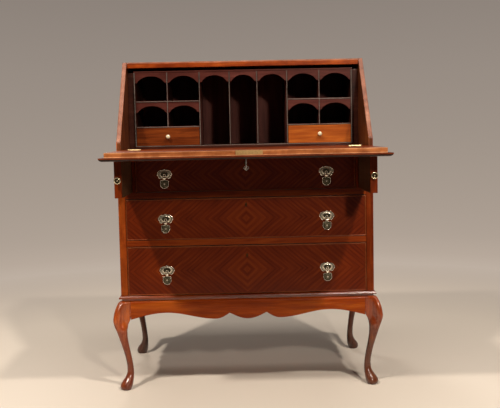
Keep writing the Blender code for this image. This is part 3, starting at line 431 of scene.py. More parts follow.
def metal(name, bright, dull, roughness=(0.22, 0.45), wear=0.5):
    """Cast or turned metal: bright where it is rubbed, dull and darker in its hollows."""
    shader = Shader(name, Metallic=1.0)
    patches = shader.noise(shader.place, 160.0, 4.0, 0.6)
    fine = shader.noise(shader.place, 900.0, 2.0, 0.5)
    curve = shader.node("ShaderNodeNewGeometry", {}).outputs["Pointiness"]
    raised = shader.spread(curve, 0.47, 0.54, 0.0, 1.0)
    raised = shader.total((raised, wear), (patches, 1 - wear))
    colour = shader.mix(shader.spread(raised, 0.25, 0.75, 0.0, 1.0), dull, bright)
    hollow = shader.spread(curve, 0.49, 0.42, 0.0, 0.85)
    shader.colour(shader.mix(hollow, colour, (0.03, 0.025, 0.015)))
    smooth, rough = roughness
    shader.rough(shader.spread(raised, 0.2, 0.8, rough, smooth))
    shader.bump(shader.math("ADD", patches, fine), 0.00015, 0.4)
    return shader.material


# Each wood's dark, middle and light tone
MAHOGANY = ((0.11, 0.0115, 0.0012), (0.25, 0.033, 0.0026), (0.42, 0.078, 0.007))
STAND = ((0.19, 0.02, 0.001), (0.43, 0.061, 0.0029), (0.68, 0.145, 0.011))
TOP = ((0.15, 0.018, 0.0012), (0.34, 0.053, 0.0036), (0.56, 0.125, 0.013))
STILE_PAINTED_LIGHT = ((0.213, 0.029, 0.0034), (0.448, 0.076, 0.0084), (0.672, 0.157, 0.02))
DEEP = ((0.062, 0.0085, 0.002), (0.12, 0.018, 0.004), (0.2, 0.036, 0.008))
QUARTERED = ((0.11, 0.0115, 0.0012), (0.178, 0.0215, 0.0022), (0.275, 0.043, 0.0044))
BEADING_AND_HIGHLIGHT = ((0.16, 0.03, 0.006), (0.3, 0.07, 0.018), (0.46, 0.13, 0.04))
# One wood for both small drawers: the left painted darker as painted shade, the right lighter as
# painted light
SMALL_DRAWER_LIT_AND_SHADED = {
    "left": ((0.042, 0.007, 0.001), (0.115, 0.02, 0.0022), (0.3, 0.064, 0.007)),
    "right": ((0.11, 0.017, 0.0018), (0.33, 0.068, 0.006), (0.56, 0.15, 0.016)),
}
INSIDE = ((0.018, 0.005, 0.003), (0.046, 0.012, 0.007), (0.09, 0.027, 0.016))
BACKING = ((0.045, 0.012, 0.0085), (0.1, 0.029, 0.022), (0.165, 0.056, 0.043))
VALANCE = ((0.03, 0.007, 0.0048), (0.076, 0.017, 0.0118), (0.14, 0.038, 0.028))
FACE = ((0.12, 0.019, 0.004), (0.26, 0.048, 0.011), (0.42, 0.105, 0.03))
FALL_EDGE = ((0.235, 0.06, 0.016), (0.53, 0.175, 0.052), (0.85, 0.39, 0.16))
# Pale tones for painted highlights along the fall's arrises
FALL_ARRIS_HIGHLIGHT = ((0.41, 0.16, 0.065), (0.78, 0.375, 0.18), (0.95, 0.6, 0.36))
# Near-black painted shade: on the fall's lip underside and the shadow lines under rails and
# drawers
PAINTED_SHADE = ((0.016, 0.004, 0.002), (0.034, 0.0075, 0.0034), (0.062, 0.014, 0.006))
# Grey tones for a painted highlight on the pigeonhole boards' front edges
EDGE = ((0.07, 0.057, 0.05), (0.135, 0.116, 0.101), (0.215, 0.188, 0.166))
REVEAL = ((0.07, 0.017, 0.0055), (0.16, 0.045, 0.014), (0.28, 0.09, 0.03))
# Paler tones for a painted sheen on the sloping edges and the top's front arris
PAINTED_SHEEN = ((0.17, 0.048, 0.02), (0.31, 0.11, 0.056), (0.48, 0.21, 0.125))
RAW = ((0.26, 0.12, 0.052), (0.39, 0.205, 0.095), (0.51, 0.305, 0.16))
LOPER_RAW_SHADED = ((0.085, 0.044, 0.02), (0.15, 0.08, 0.038), (0.23, 0.13, 0.068))

wood_x = wood("mahogany_x", "x", MAHOGANY)
wood_z = wood("mahogany_z", "z", MAHOGANY)
# Lit and shaded copies of one finish: the left front leg lighter, the right front and back legs
# darker, as painted shade
leg_woods = {
    "leg_front_left": leg_finish("leg_wood_left", STAND, 0.1, 0.22, 0.52),
    "leg_front_right": leg_finish("leg_wood_right", STAND, 0.15, 0.27, 0.78),
}
back_leg_shaded_wood = leg_finish("leg_wood_back_shaded", MAHOGANY, 0.15, 0.27, 0.78)
apron_woods = {along: wood(f"apron_{along}", along, STAND) for along in "xy"}
moulding_wood = wood("moulding_wood", "x", MAHOGANY, (0.22, 0.34), polish=GLOSS)
raw_y = wood("lining_wood", "y", RAW, (0.55, 0.75), 0.3, MATT)
# Only the lopers' front ends are polished; their raw sides are painted darker as painted shade
behind_facing = ("y", "GREATER_THAN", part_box("loper_left")[0].y + 0.004)
loper_wood = parted_wood("loper_wood", "z", MAHOGANY, [([behind_facing], "y", LOPER_RAW_SHADED)])

SLOPE = math.radians(52)
SLOPE_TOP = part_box("top_board")[0].y
# How deep the tones of the front, the slope and the outer face go, and the slope's foot
FRONT_SKIN, SLOPE_SKIN, SIDE_SKIN = 0.0012, 0.0009, 0.002
SLOPE_FOOT = BED + 0.026


def side_finish(name, front_tones):
    """The carcase's sides: polished outside, a painted sheen on the sloping edges, dark inside."""
    shader = Shader(name, **POLISH)
    colour, grain, pores = wood_colour(shader, "z", MAHOGANY)
    x, y, z = shader.axes()
    # The front edge takes its own tones: lighter on the left side as painted light
    front = shader.math("LESS_THAN", y, FRONT + FRONT_SKIN)
    colour = shader.mix(front, colour, wood_colour(shader, "z", front_tones)[0])
    slope = shader.spread(z, 0.0, HEIGHT, SLOPE_TOP - HEIGHT / math.tan(SLOPE), SLOPE_TOP)
    behind = shader.math("MULTIPLY", shader.math("SUBTRACT", y, slope), math.sin(SLOPE))
    above = shader.math("GREATER_THAN", z, SLOPE_FOOT)
    inside = shader.math("LESS_THAN", shader.math("ABSOLUTE", x), HALF_WIDTH - SIDE_SKIN)
    inside = shader.math("MULTIPLY", inside, shader.math("GREATER_THAN", z, BED))
    colour = shader.mix(inside, colour, wood_colour(shader, "z", REVEAL)[0])
    # The sloping edges take a painted sheen
    edge = shader.math("MULTIPLY", above, shader.math("LESS_THAN", behind, SLOPE_SKIN))
    colour = shader.mix(edge, colour, wood_colour(shader, "z", PAINTED_SHEEN)[0])
    colour = old_polish(shader, colour, 0.5)
    return finish_wood(shader, colour, grain, pores, (0.26, 0.42))


# The left side's front edge is painted lighter as painted light; the right keeps plain mahogany
side_woods = {
    "left": side_finish("side_wood_left", STILE_PAINTED_LIGHT),
    "right": side_finish("side_wood_right", MAHOGANY),
}

PANEL_END = FALL_TIP + 0.0125
LIP_TOP = BED - 0.0135
near_tip = ("y", "LESS_THAN", PANEL_END + 0.0014)
# The fall's tones below a height, from its face down; the arrises are painted highlight lines, the
# lip's dark band painted shade
fall_levels = (
    (BED - 0.0004, [], FALL_EDGE),
    (BED + 0.0004, [near_tip], FALL_ARRIS_HIGHLIGHT),
    (BED - 0.0018, [], FALL_EDGE),
    (LIP_TOP + 0.0022, [], FALL_ARRIS_HIGHLIGHT),
    (LIP_TOP + 0.0002, [], DEEP),
    (LIP_TOP - 0.001, [], FACE),
    (LIP_TOP - 0.0036, [], PAINTED_SHADE),
    (LIP_TOP - 0.009, [], QUARTERED),
)
fall_parts = [([("z", "LESS_THAN", z), *more], "x", tones) for z, more, tones in fall_levels]
fall_wood = parted_wood("fall_wood", "x", FACE, fall_parts, 0.7)
bed_wood = wood("bed_wood", "x", DEEP)
# A painted highlight along the top board's front arris
top_arris = [("z", "GREATER_THAN", HEIGHT - 0.0045), ("y", "LESS_THAN", SLOPE_TOP + 0.0045)]
top_wood = parted_wood("top_wood", "x", TOP, [(top_arris, "x", PAINTED_SHEEN)], 0.6)

# In the pigeonholes the boards' front edges carry a grey painted highlight, and the depths darker
front_edge = ("y", "LESS_THAN", UNIT_FRONT + 0.0001)
depth = ("y", "GREATER_THAN", UNIT_FRONT + 0.0055)
over_floor = ("z", "GREATER_THAN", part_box("small_drawer_left")[0].z - 0.0025)
unit_wood = parted_wood("unit_wood", "x", INSIDE, [([front_edge, over_floor], "x", EDGE)])
inside_x = parted_wood(
    "inside_wood_x", "x", VALANCE, [([front_edge], "x", EDGE), ([depth], "x", INSIDE)]
)
inside_z = parted_wood(
    "inside_wood_z", "z", INSIDE, [([front_edge], "z", EDGE), ([depth], "z", BACKING)]
)
back_wood = wood("back_wood", "z", BACKING, (0.5, 0.7), 0.4, MATT)
valance_wood = wood("valance_wood", "x", VALANCE, (0.3, 0.42))

rim_brass = metal("rim_brass", (0.84, 0.75, 0.62), (0.25, 0.22, 0.15), (0.2, 0.38), 0.6)
field_brass = metal("field_brass", (0.15, 0.13, 0.085), (0.048, 0.042, 0.027), (0.35, 0.55))
HANDLE_METALS = (rim_brass, field_brass)
pale_brass = metal("pale_brass", (0.8, 0.7, 0.48), (0.42, 0.34, 0.18), (0.2, 0.36))
dark_brass = metal("dark_brass", (0.1, 0.065, 0.025), (0.035, 0.022, 0.01), (0.4, 0.6))
bright_brass = metal("bright_brass", (0.78, 0.6, 0.32), (0.48, 0.34, 0.15), (0.34, 0.5))
worn_brass = metal("worn_brass", (0.6, 0.38, 0.16), (0.26, 0.14, 0.05), (0.38, 0.55), 0.3)
steel = metal("old_steel", (0.42, 0.4, 0.37), (0.12, 0.11, 0.1), (0.25, 0.45))


def bone():
    """Pale turned bone, with a faint grain."""
    shader = Shader("pale_knob", Coat_Weight=0.4, Coat_Roughness=0.1)
    tone = shader.noise(shader.stretch(shader.place, (1, 1, 6)), 120.0, 3.0)
    shader.colour(shader.ramp(tone, ((0.3, (0.62, 0.48, 0.26)), (0.7, (0.88, 0.78, 0.56)))))
    shader.rough(shader.spread(tone, 0.3, 0.7, 0.25, 0.4))
    return shader.material


ivory = bone()


# Boards that stay as they are packed

for side, _ in SIDES:
    dress(f"side_{side}", side_woods[side], 0.0014, 3)
    dress(f"loper_housing_{side}", wood_z, 0)
    dress(f"loper_{side}", loper_wood, 0)
    dress(f"pigeonhole_nest_{side}", inside_x, 0.0012, 3)
    drawer_wood = wood(f"small_drawer_wood_{side}", "x", SMALL_DRAWER_LIT_AND_SHADED[side])
    dress(f"small_drawer_{side}", drawer_wood, 0.0006)
    for edge in ("inner", "outer"):
        dress(f"divider_{edge}_{side}", inside_z, 0.0013, 3)
    dress(f"bed_leaf_{side}", bright_brass, 0)
    dress(f"fall_leaf_{side}", bright_brass, 0)
dress("top_board", top_wood, 0.0012, 3)
dress("writing_bed", bed_wood, 0.0006)
dress("back_panel", back_wood, 0.0006)
# The rails' facings are of mahogany, with a painted shadow line along their lower edge
RAIL_FACING = 0.045
for height in ("upper", "lower"):
    rail = f"drawer_rail_{height}"
    runners = [("y", "GREATER_THAN", FRONT + RAIL_FACING)]
    painted_shadow_line = [("z", "LESS_THAN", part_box(rail)[0].z + SHADE_LINE)]
    parts = [(runners, "y", RAW), (painted_shadow_line, "x", PAINTED_SHADE)]
    dress(rail, parted_wood(f"rail_wood_{height}", "x", MAHOGANY, parts), 0.0007)
dress("apron_back", wood_x, 0.001)
dress("pigeonhole_case", unit_wood, 0.0012, 3)
dress("pigeonhole_top", valance_wood, 0.0006)
dress("fall_board", fall_wood, 0.0006)
dress("fall_lock", worn_brass, 0.0004)
for drawer in DRAWERS:
    low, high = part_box(f"drawer_{drawer}_front")
    dress(f"drawer_{drawer}_front", veneer(f"veneer_{drawer}", low, high), 0.0007)
    dress(f"drawer_{drawer}_box", raw_y, 0.0006)


# Stand: legs, aprons and mouldings

LEG_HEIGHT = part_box("leg_front_left")[1].z
# The aprons' faces run up behind the moulding over them
STAND_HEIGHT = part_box("apron_front")[1].z + 0.0085
KNEE, POST = 0.024, 0.028
APRON_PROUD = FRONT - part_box("apron_front")[0].y
TOP_ROUND = 0.009
# Shares of the leg's height, the knee and the post, and squareness; then the same in metres
LEG_STATIONS = [
    (LEG_HEIGHT * up, KNEE * out, -POST * inner, square)
    for up, out, inner, square in (
        (0.0, 0.27, 0.71, 2.0), (0.006, 0.38, 0.765, 2.0), (0.02, 0.46, 0.81, 2.0),
        (0.038, 0.5, 0.87, 2.0), (0.064, 0.43, 0.943, 2.0), (0.098, 0.2, 0.993, 2.0),
        (0.136, -0.11, 1.024, 2.0), (0.181, -0.32, 1.04, 2.1), (0.234, -0.38, 1.015, 2.1),
        (0.294, -0.34, 0.956, 2.2), (0.358, -0.23, 0.87, 2.3), (0.415, -0.11, 0.789, 2.4),
        (0.475, 0.05, 0.697, 2.5), (0.528, 0.2, 0.622, 2.6), (0.588, 0.39, 0.562, 2.7),
        (0.641, 0.55, 0.54, 2.8), (0.705, 0.76, 0.56, 3.0), (0.765, 0.93, 0.68, 3.2),
        (0.818, 1.0, 0.91, 3.6), (0.871, 0.93, 1.0, 4.0), (0.916, 0.83, 1.0, 4.0),
        (0.965, 0.64, 1.0, 4.0), (1.0, 0.46, 1.0, 4.0),
    )
]
for z, out in ((0.2695, 0.0083), (0.2722, 0.005), (STAND_HEIGHT, 0.001)):
    LEG_STATIONS.append((z, out, -POST, 4.0))
LEG_SIDES = 64
# Share of the leg's height where the knee block begins, and over which it takes shape
BLOCK_START, BLOCK_RANGE = 0.66, 0.16


def round_over(z):
    """How far an apron's face stands out of the carcase at a height."""
    rise = max(0.0, z - (STAND_HEIGHT - TOP_ROUND))
    return APRON_PROUD - TOP_ROUND + math.sqrt(max(0.0, TOP_ROUND**2 - rise**2))


def knee_block(outer, inner, flush):
    """Section of the leg's top: flush with the aprons at its inner ends, a knee between."""
    half = [
        (inner + (outer - inner) * t, flush + (outer - flush) * g)
        for t, g in (
            (0.0, 0.0), (0.16, 0.02), (0.32, 0.12), (0.46, 0.34), (0.58, 0.62),
            (0.68, 0.83), (0.78, 0.96), (0.86, 1.0),
        )
    ]
    reach = outer - half[-1][0]
    corner = outer - reach * (1 - math.sqrt(0.5))
    front = smooth_line([*half, (corner, corner), *((v, u) for u, v in reversed(half))], 4)
    return [(inner, inner), *front]


def reach_of(shape, centre, turn):
    """Distance from the centre to a closed shape's edge in one direction."""
    c, s = math.cos(turn), math.sin(turn)
    best = 0.0
    for (u0, v0), (u1, v1) in zip(shape, shape[1:] + shape[:1]):
        u0, v0, u1, v1 = u0 - centre, v0 - centre, u1 - centre, v1 - centre
        across = c * (v1 - v0) - s * (u1 - u0)
        if abs(across) < 1e-12:
            continue
        share = (s * u0 - c * v0) / across
        if -1e-9 <= share <= 1 + 1e-9:
            best = max(best, c * (u0 + share * (u1 - u0)) + s * (v0 + share * (v1 - v0)))
    return best


def leg_section(z, outer, inner, square):
    """(u, v) points: a rounded square low down, the knee block near the top."""
    middle, half = (outer + inner) / 2, (outer - inner) / 2
    share = min(max((z / LEG_HEIGHT - BLOCK_START) / BLOCK_RANGE, 0.0), 1.0)
    share = share * share * (3 - 2 * share)
    block = knee_block(outer, inner, min(round_over(z), outer - 0.0005)) if share else None
    section = []
    for i in range(LEG_SIDES):
        turn = 2 * math.pi * (i + 0.5) / LEG_SIDES
        c, s = math.cos(turn), math.sin(turn)
        reach = half / (abs(c) ** square + abs(s) ** square) ** (1 / square)
        if share:
            reach += share * (reach_of(block, middle, turn) - reach)
        section.append((middle + reach * c, middle + reach * s))
    return section


def leg(name, side, front):
    corner = Vector((side * HALF_WIDTH, FRONT if front < 0 else BACK, 0))
    rings = []
    for z, outer, inner, square in smooth_line(LEG_STATIONS, 4):
        section = leg_section(z, outer, inner, square)
        rings.append([corner + Vector((side * u, front * v, z)) for u, v in section])
    bm = bmesh.new()
    add_loft(bm, rings)
    finish = leg_woods.get(name, back_leg_shaded_wood)
    piece(f"{name}_shaped", bm, finish, "bureau", (name,), 50)


for side, sign in SIDES:
    leg(f"leg_front_{side}", sign, -1)
    leg(f"leg_back_{side}", sign, 1)

APRON_DEPTH = LEG_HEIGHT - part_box("apron_front")[0].z
# Each stretch of the lower edge, out from the middle: its ends and how it bends
APRON_POINTS = (
    ((0.0, 1.0), (0.158, 0.65), lambda t: 1 - math.cos(math.pi / 2 * t)),
    ((0.158, 0.65), (0.272, 0.98), lambda t: math.sin(math.pi / 2 * t)),
    ((0.272, 0.98), (0.7, 0.573), lambda t: (1 - math.cos(math.pi * t)) / 2),
    ((0.7, 0.573), (1.0, 0.937), lambda t: 1 - math.cos(math.pi / 2 * t)),
)
APRON_STEPS, ROUND_STEPS = 16, 8
APRON_LAP = 0.0002
ARRIS = 0.0016


def apron(node, axis, outward):
    """A shaped apron, its top edge rounded over; outward is the way that its face looks."""
    low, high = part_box(node)
    a, b = (low.x, high.x) if axis == "x" else (low.y, high.y)
    near, far = (low.y, high.y) if axis == "x" else (low.x, high.x)
    face, behind = (near, far) if outward < 0 else (far, near)
    middle, half = (a + b) / 2, (b - a) / 2 + APRON_LAP
    edge = [
        (x0 + (x1 - x0) * i / APRON_STEPS, d0 + (d1 - d0) * ease(i / APRON_STEPS))
        for (x0, d0), (x1, d1), ease in APRON_POINTS
        for i in range(APRON_STEPS)
    ] + [APRON_POINTS[-1][1]]
    line = [(-u, d) for u, d in reversed(edge[1:])] + edge
    rings = []
    for share, down in line:
        along, bottom = middle + half * share, LEG_HEIGHT - APRON_DEPTH * down
        section = [(behind, bottom), (face - outward * ARRIS, bottom)]
        for turn in (30, 60, 90):
            back, up = 1 - math.sin(math.radians(turn)), 1 - math.cos(math.radians(turn))
            section.append((face - outward * ARRIS * back, bottom + ARRIS * up))
        for i in range(ROUND_STEPS + 1):
            z = STAND_HEIGHT - TOP_ROUND * (1 - math.sin(math.pi / 2 * i / ROUND_STEPS))
            section.append((face + outward * (round_over(z) - APRON_PROUD), z))
        section.append((behind, STAND_HEIGHT))
        if axis == "x":
            rings.append([(along, d, z) for d, z in section])
        else:
            rings.append([(d, along, z) for d, z in section])
    bm = bmesh.new()
    add_loft(bm, rings)
    piece(f"{node}_shaped", bm, apron_woods[axis], "bureau", (node,), 32)


apron("apron_front", "x", -1)
apron("apron_left", "y", -1)
apron("apron_right", "y", 1)


def slab(node, profile):
    """A board under the carcase: profile gives how far it stands out, and its height."""
    rings = []
    for out, z in profile:
        x, y = HALF_WIDTH + out, FRONT - out
        rings.append([(-x, y, z), (x, y, z), (x, BACK, z), (-x, BACK, z)])
    bm = bmesh.new()
    add_loft(bm, rings)
    piece(f"{node}_moulded", bm, moulding_wood, "bureau", (node,), 40)


OVOLO = (
    (1.0, 0.0), (1.0, 0.14), (0.97, 0.3), (0.88, 0.48), (0.73, 0.66), (0.5, 0.82), (0.22, 0.94),
    (0.0, 1.0),
)
low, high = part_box("base_board")
reach, rise = high.x - HALF_WIDTH, high.z - low.z
slab("base_board", [(reach * out, low.z + rise * up) for out, up in smooth_line(OVOLO, 3)])
low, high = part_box("stand_top")
slab(
    "stand_top",
    [(-0.012, low.z), (-0.012, STAND_HEIGHT - 0.0002), (-0.002, STAND_HEIGHT), (-0.002, high.z)],
)


# Drop handles

PLATE_HALF = (
    (0.0, 14.8), (2.6, 14.5), (4.6, 12.9), (5.9, 11.4), (8.4, 12.3), (12.0, 12.2), (16.0, 10.0),
    (19.6, 6.6), (21.9, 2.4), (22.4, -1.4), (20.9, -4.6), (18.6, -6.2), (18.3, -8.6),
    (16.6, -11.4), (13.4, -13.4), (9.8, -13.6), (7.4, -12.2), (5.4, -12.6), (3.6, -14.4),
    (0.0, -14.9),
)
DROP_HALF = (
    (0.0, 13.3), (3.4, 13.2), (5.6, 12.3), (6.6, 11.3), (8.8, 12.0), (11.6, 11.4), (13.1, 8.9),
    (12.9, 6.4), (12.2, 4.4), (13.2, 2.0), (13.1, -1.0), (12.0, -3.4), (12.2, -5.4), (10.6, -8.0),
    (8.4, -9.2), (7.4, -11.0), (4.6, -12.6), (2.2, -12.6), (0.0, -13.3),
)
PLATE_OUTLINE, DROP_OUTLINE = (
    [(x * MM, z * MM) for x, z in smooth_line(mirrored(half), 3, True)]
    for half in (PLATE_HALF, DROP_HALF)
)
# Share of the outline, height, and which metal the band up to the next ring has
BRIGHT, DARK = 0, 1
PLATE_RINGS = (
    (0.97, 0.0, BRIGHT), (1.0, 0.4, BRIGHT), (1.0, 1.1, BRIGHT), (0.96, 1.55, BRIGHT),
    (0.9, 1.5, DARK), (0.86, 1.05, DARK), (0.8, 1.0, BRIGHT), (0.7, 1.25, BRIGHT),
    (0.62, 1.35, BRIGHT), (0.56, 1.9, BRIGHT), (0.51, 1.9, DARK), (0.47, 0.9, DARK),
    (0.36, 0.7, DARK),
)
BOSS_RINGS = (
    (4.9, 0.8, DARK), (4.5, 1.6, BRIGHT), (3.9, 2.3, BRIGHT), (3.1, 2.5, BRIGHT),
    (2.5, 2.1, DARK), (2.1, 1.0, DARK), (0.9, 0.8, DARK),
)
BOSS_BELOW = 3.6
DROP_RINGS = (
    (0.86, -1.3, BRIGHT), (0.95, -1.0, BRIGHT), (1.0, -0.3, BRIGHT), (1.0, 0.5, BRIGHT),
    (0.95, 1.1, BRIGHT), (0.89, 1.15, DARK), (0.84, 0.6, DARK), (0.76, 0.4, DARK),
    (0.6, 0.7, DARK), (0.52, 1.1, DARK), (0.44, 1.1, DARK), (0.38, 0.75, DARK),
    (0.2, 1.25, BRIGHT), (0.08, 1.4, BRIGHT),
)
DROP_REACH = 13.3
# The drop's eye: its rings, radius and place across, and the neck that joins it to the drop
EYE_RADIUS, EYE_BORE, EYE_HALF, EYE_SIDES = 2.7, 1.5, 2.0, 20
EYE_RINGS = (
    (EYE_BORE, -EYE_HALF), (EYE_RADIUS - 0.3, -EYE_HALF), (EYE_RADIUS, -EYE_HALF + 0.4),
    (EYE_RADIUS, EYE_HALF - 0.4), (EYE_RADIUS - 0.3, EYE_HALF), (EYE_BORE, EYE_HALF),
)
NECK = (
    (1.9, EYE_RADIUS - 0.7, 1.0), (1.7, EYE_RADIUS + 0.8, 0.9), (2.4, EYE_RADIUS + 1.9, 0.8),
    (3.6, EYE_RADIUS + 3.0, 0.7),
)
# The plate's lugs, from one distance to another beside the eye, and the pin between them
LUG_NEAR, LUG_FAR, LUG_HALF, LUG_SIDES = EYE_HALF + 0.45, EYE_HALF + 2.4, 1.9, 16
PIN_HALF, PIN_RADIUS = 4.2, 1.05
BEAD_SPACING, BEAD_RADIUS, BEAD_SIDES = 1.9, 0.85, 8
BEAD_PROFILE = ((-0.3, 1.0), (0.25, 0.95), (0.66, 0.72), (0.9, 0.36), (1.0, 0.02))


def circle_outline(radius, count, lift=0.0):
    return [(radius * math.sin(a), lift + radius * math.cos(a)) for a in circle_turns(count)]


def banded(bm, rings, metals):
    """A loft whose bands take the metals given for their lower rings."""
    add_loft(bm, rings)
    bm.faces.ensure_lookup_table()
    count = len(rings[0])
    for i, face in enumerate(bm.faces):
        face.material_index = metals[min(i // count, len(metals) - 1)]


def add_beads(bm, outline, centre, share, front):
    """A row of half-round beads along a closed outline, drawn in towards its centre."""
    path = [Vector((centre[0] + x * share, front, centre[1] + z * share)) for x, z in outline]
    stretches = list(zip(path, path[1:] + path[:1]))
    total = sum((b - a).length for a, b in stretches)
    number = round(total / (BEAD_SPACING * MM))
    step, due, walked = total / number, 0.0, 0.0
    shape = [(BEAD_RADIUS * MM * along, BEAD_RADIUS * MM * r) for along, r in BEAD_PROFILE]
    for a, b in stretches:
        length = (b - a).length
        while due <= walked + length and number:
            add_turned(bm, a.lerp(b, (due - walked) / length), shape, BEAD_SIDES)
            due += step
            number -= 1
        walked += length


def raised_rings(outline, rings, x, y, z):
    """The outline once for each ring, at the ring's share of its size and height before y."""
    return [
        [(x + px * share, y - proud * MM, z + pz * share) for px, pz in outline]
        for share, proud, _ in rings
    ]


def handle_plate(node, body):
    low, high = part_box(node)
    x, z, back = (low.x + high.x) / 2, (low.z + high.z) / 2, high.y
    bm = bmesh.new()
    rings = raised_rings(PLATE_OUTLINE, PLATE_RINGS, x, back, z)
    for radius, proud, _ in BOSS_RINGS:
        circle = circle_outline(radius * MM, len(PLATE_OUTLINE), -BOSS_BELOW * MM)
        rings.append([(x + px, back - proud * MM, z + pz) for px, pz in circle])
    banded(bm, rings, [ring[2] for ring in PLATE_RINGS + BOSS_RINGS])
    add_beads(bm, PLATE_OUTLINE, (x, z), 0.93, back - 1.25 * MM)
    pivot_y, pivot_z = pivot_of(node.replace("_plate_", "_drop_"))
    lug = circle_outline(EYE_RADIUS * MM, LUG_SIDES)
    for sign in (-1, 1):
        start, end = sign * LUG_NEAR * MM, sign * LUG_FAR * MM
        ends = [[(x + at, pivot_y + py, pivot_z + pz) for py, pz in lug] for at in (start, end)]
        add_loft(bm, ends)
        add_box(
            bm,
            (x + min(start, end), pivot_y, pivot_z - LUG_HALF * MM),
            (x + max(start, end), back - 0.6 * MM, pivot_z + LUG_HALF * MM),
        )
    pin = [(x + sign * PIN_HALF * MM, pivot_y, pivot_z) for sign in (-1, 1)]
    add_tube(bm, pin, PIN_RADIUS * MM, 12)
    piece(f"{node}_cast", bm, HANDLE_METALS, body, (node,), 50)


def pivot_of(drop):
    """(y, z) of the pin that a drop hangs from."""
    low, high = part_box(drop)
    return (low.y + high.y) / 2, high.z - EYE_RADIUS * MM


def handle_drop(node, body):
    low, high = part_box(node)
    x, middle = (low.x + high.x) / 2, low.z + DROP_REACH * MM
    pivot_y, pivot_z = pivot_of(node)
    bm = bmesh.new()
    rings = raised_rings(DROP_OUTLINE, DROP_RINGS, x, pivot_y, middle)
    banded(bm, rings, [ring[2] for ring in DROP_RINGS])
    add_beads(bm, DROP_OUTLINE, (x, middle), 0.92, pivot_y - 0.85 * MM)
    rings = []
    for radius, across in EYE_RINGS:
        circle = circle_outline(radius * MM, EYE_SIDES)
        rings.append([(x + across * MM, pivot_y + py, pivot_z + pz) for py, pz in circle])
    add_loft(bm, rings, closed=True)
    rings = []
    for half, down, deep in NECK:
        square = [(sx * half, sy * deep) for sx, sy in ((-1, -1), (1, -1), (1, 1), (-1, 1))]
        rings.append([(x + u * MM, pivot_y + v * MM, pivot_z - down * MM) for u, v in square])
    add_loft(bm, rings)
    piece(f"{node}_cast", bm, HANDLE_METALS, body, (node,), 50)


for drawer in DRAWERS:
    for side, _ in SIDES:
        handle_plate(f"drawer_{drawer}_plate_{side}", f"drawer_{drawer}_body")
        handle_drop(f"drawer_{drawer}_drop_{side}", f"drawer_{drawer}_drop_{side}_body")


# Keyholes

KEYHOLE_RADIUS, SLOT_HALF, SLOT_LENGTH, LINER = 2.6, 1.4, 8.5, 0.55
KEYHOLE_STEPS = 20
KEYHOLE_DROPS = {"top": 0.018, "middle": 0.018, "bottom": 0.028}


def keyhole_liner(drawer):
    """A thin metal line let in round a drawer's keyhole: a round hole over a slot."""
    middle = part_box(f"drawer_{drawer}_front")[1].z - KEYHOLE_DROPS[drawer]
    slot_turn = math.asin(SLOT_HALF / KEYHOLE_RADIUS)
    line = []
    for i in range(KEYHOLE_STEPS + 1):
        turn = math.pi + (math.pi - slot_turn) * (2 * i / KEYHOLE_STEPS - 1)
        line.append((-KEYHOLE_RADIUS * math.sin(turn), -KEYHOLE_RADIUS * math.cos(turn)))
    line += [(SLOT_HALF, SLOT_LENGTH), (-SLOT_HALF, SLOT_LENGTH)]
    path = [(across * MM, FRONT, middle - down * MM) for across, down in line]
    bm = bmesh.new()
    add_tube(bm, path, LINER * MM, 8, True)
    piece(f"keyhole_liner_{drawer}", bm, dark_brass, f"drawer_{drawer}_body")


for drawer in DRAWERS:
    keyhole_liner(drawer)


# Knobs

LOPER_KNOB = (
    (0.0, 7.0), (0.9, 7.0), (1.6, 6.4), (2.4, 5.0), (3.6, 4.2), (6.0, 4.0), (7.6, 4.8), (9.0, 7.2),
    (10.2, 9.0), (11.4, 9.7), (12.8, 9.5), (13.7, 8.6), (13.9, 7.6), (13.3, 6.5), (12.1, 5.8),
    (11.6, 4.6), (11.7, 3.4), (12.6, 2.7), (13.6, 2.2), (14.2, 1.3), (14.4, 0.1),
)
SMALL_KNOB = (
    (0.0, 4.2), (0.8, 4.2), (1.6, 3.4), (2.6, 2.8), (4.2, 2.8), (5.6, 3.8), (6.9, 5.6), (8.4, 6.7),
    (10.2, 6.6), (11.8, 5.4), (12.8, 3.6), (13.2, 2.0), (13.4, 0.1),
)
# The rings of a loper's knob that lie in its hollow
LOPER_HOLLOW = range(25, 33)
KNOB_SIDES = 40


def knob(node, profile, finish, body, hollow=()):
    """A turned knob; the rings in hollow take the second finish."""
    low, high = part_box(node)
    centre = ((low.x + high.x) / 2, high.y, (low.z + high.z) / 2)
    bm = bmesh.new()
    shape = [(along * MM, radius * MM) for along, radius in smooth_line(profile, 2)]
    add_turned(bm, centre, shape, KNOB_SIDES)
    bm.faces.ensure_lookup_table()
    for i, face in enumerate(bm.faces):
        face.material_index = int(i // KNOB_SIDES in hollow)
    piece(f"{node}_turned", bm, finish, body, (node,), 60)


for side, _ in SIDES:
    metals, body = (pale_brass, dark_brass), f"loper_{side}_body"
    knob(f"loper_{side}_knob", LOPER_KNOB, metals, body, LOPER_HOLLOW)
    knob(f"small_drawer_{side}_knob", SMALL_KNOB, ivory, f"small_drawer_{side}_body")


# Key

KEY_INSET = 0.027
BOW_RISE, SHAFT_RISE, RINGS_RISE, COLLAR_RISE = 7.2, 4.4, 1.6, 0.8
KEY_SHAFT = (
    (0.0, 1.2), (1.2, 1.9), (2.2, 1.5), (3.0, 2.4), (3.9, 2.4), (4.6, 1.6), (8.0, 1.7),
    (9.0, 2.4), (9.8, 1.7),
)
KEY_COLLAR = ((0.0, 1.0), (1.2, 2.0), (2.6, 2.0), (4.0, 1.2))
BIT_HALF, BIT_REACH, BIT_FOOT, BIT_TOP = 0.8, 7.2, 5.1, 0.6
# The bow's rings: direction in degrees, distance and radius
BOW_RINGS = ((205, 3.9, 3.1), (335, 3.9, 3.1), (270, 4.6, 2.9))
RING_SIDES, RING_THICK = 24, 0.65


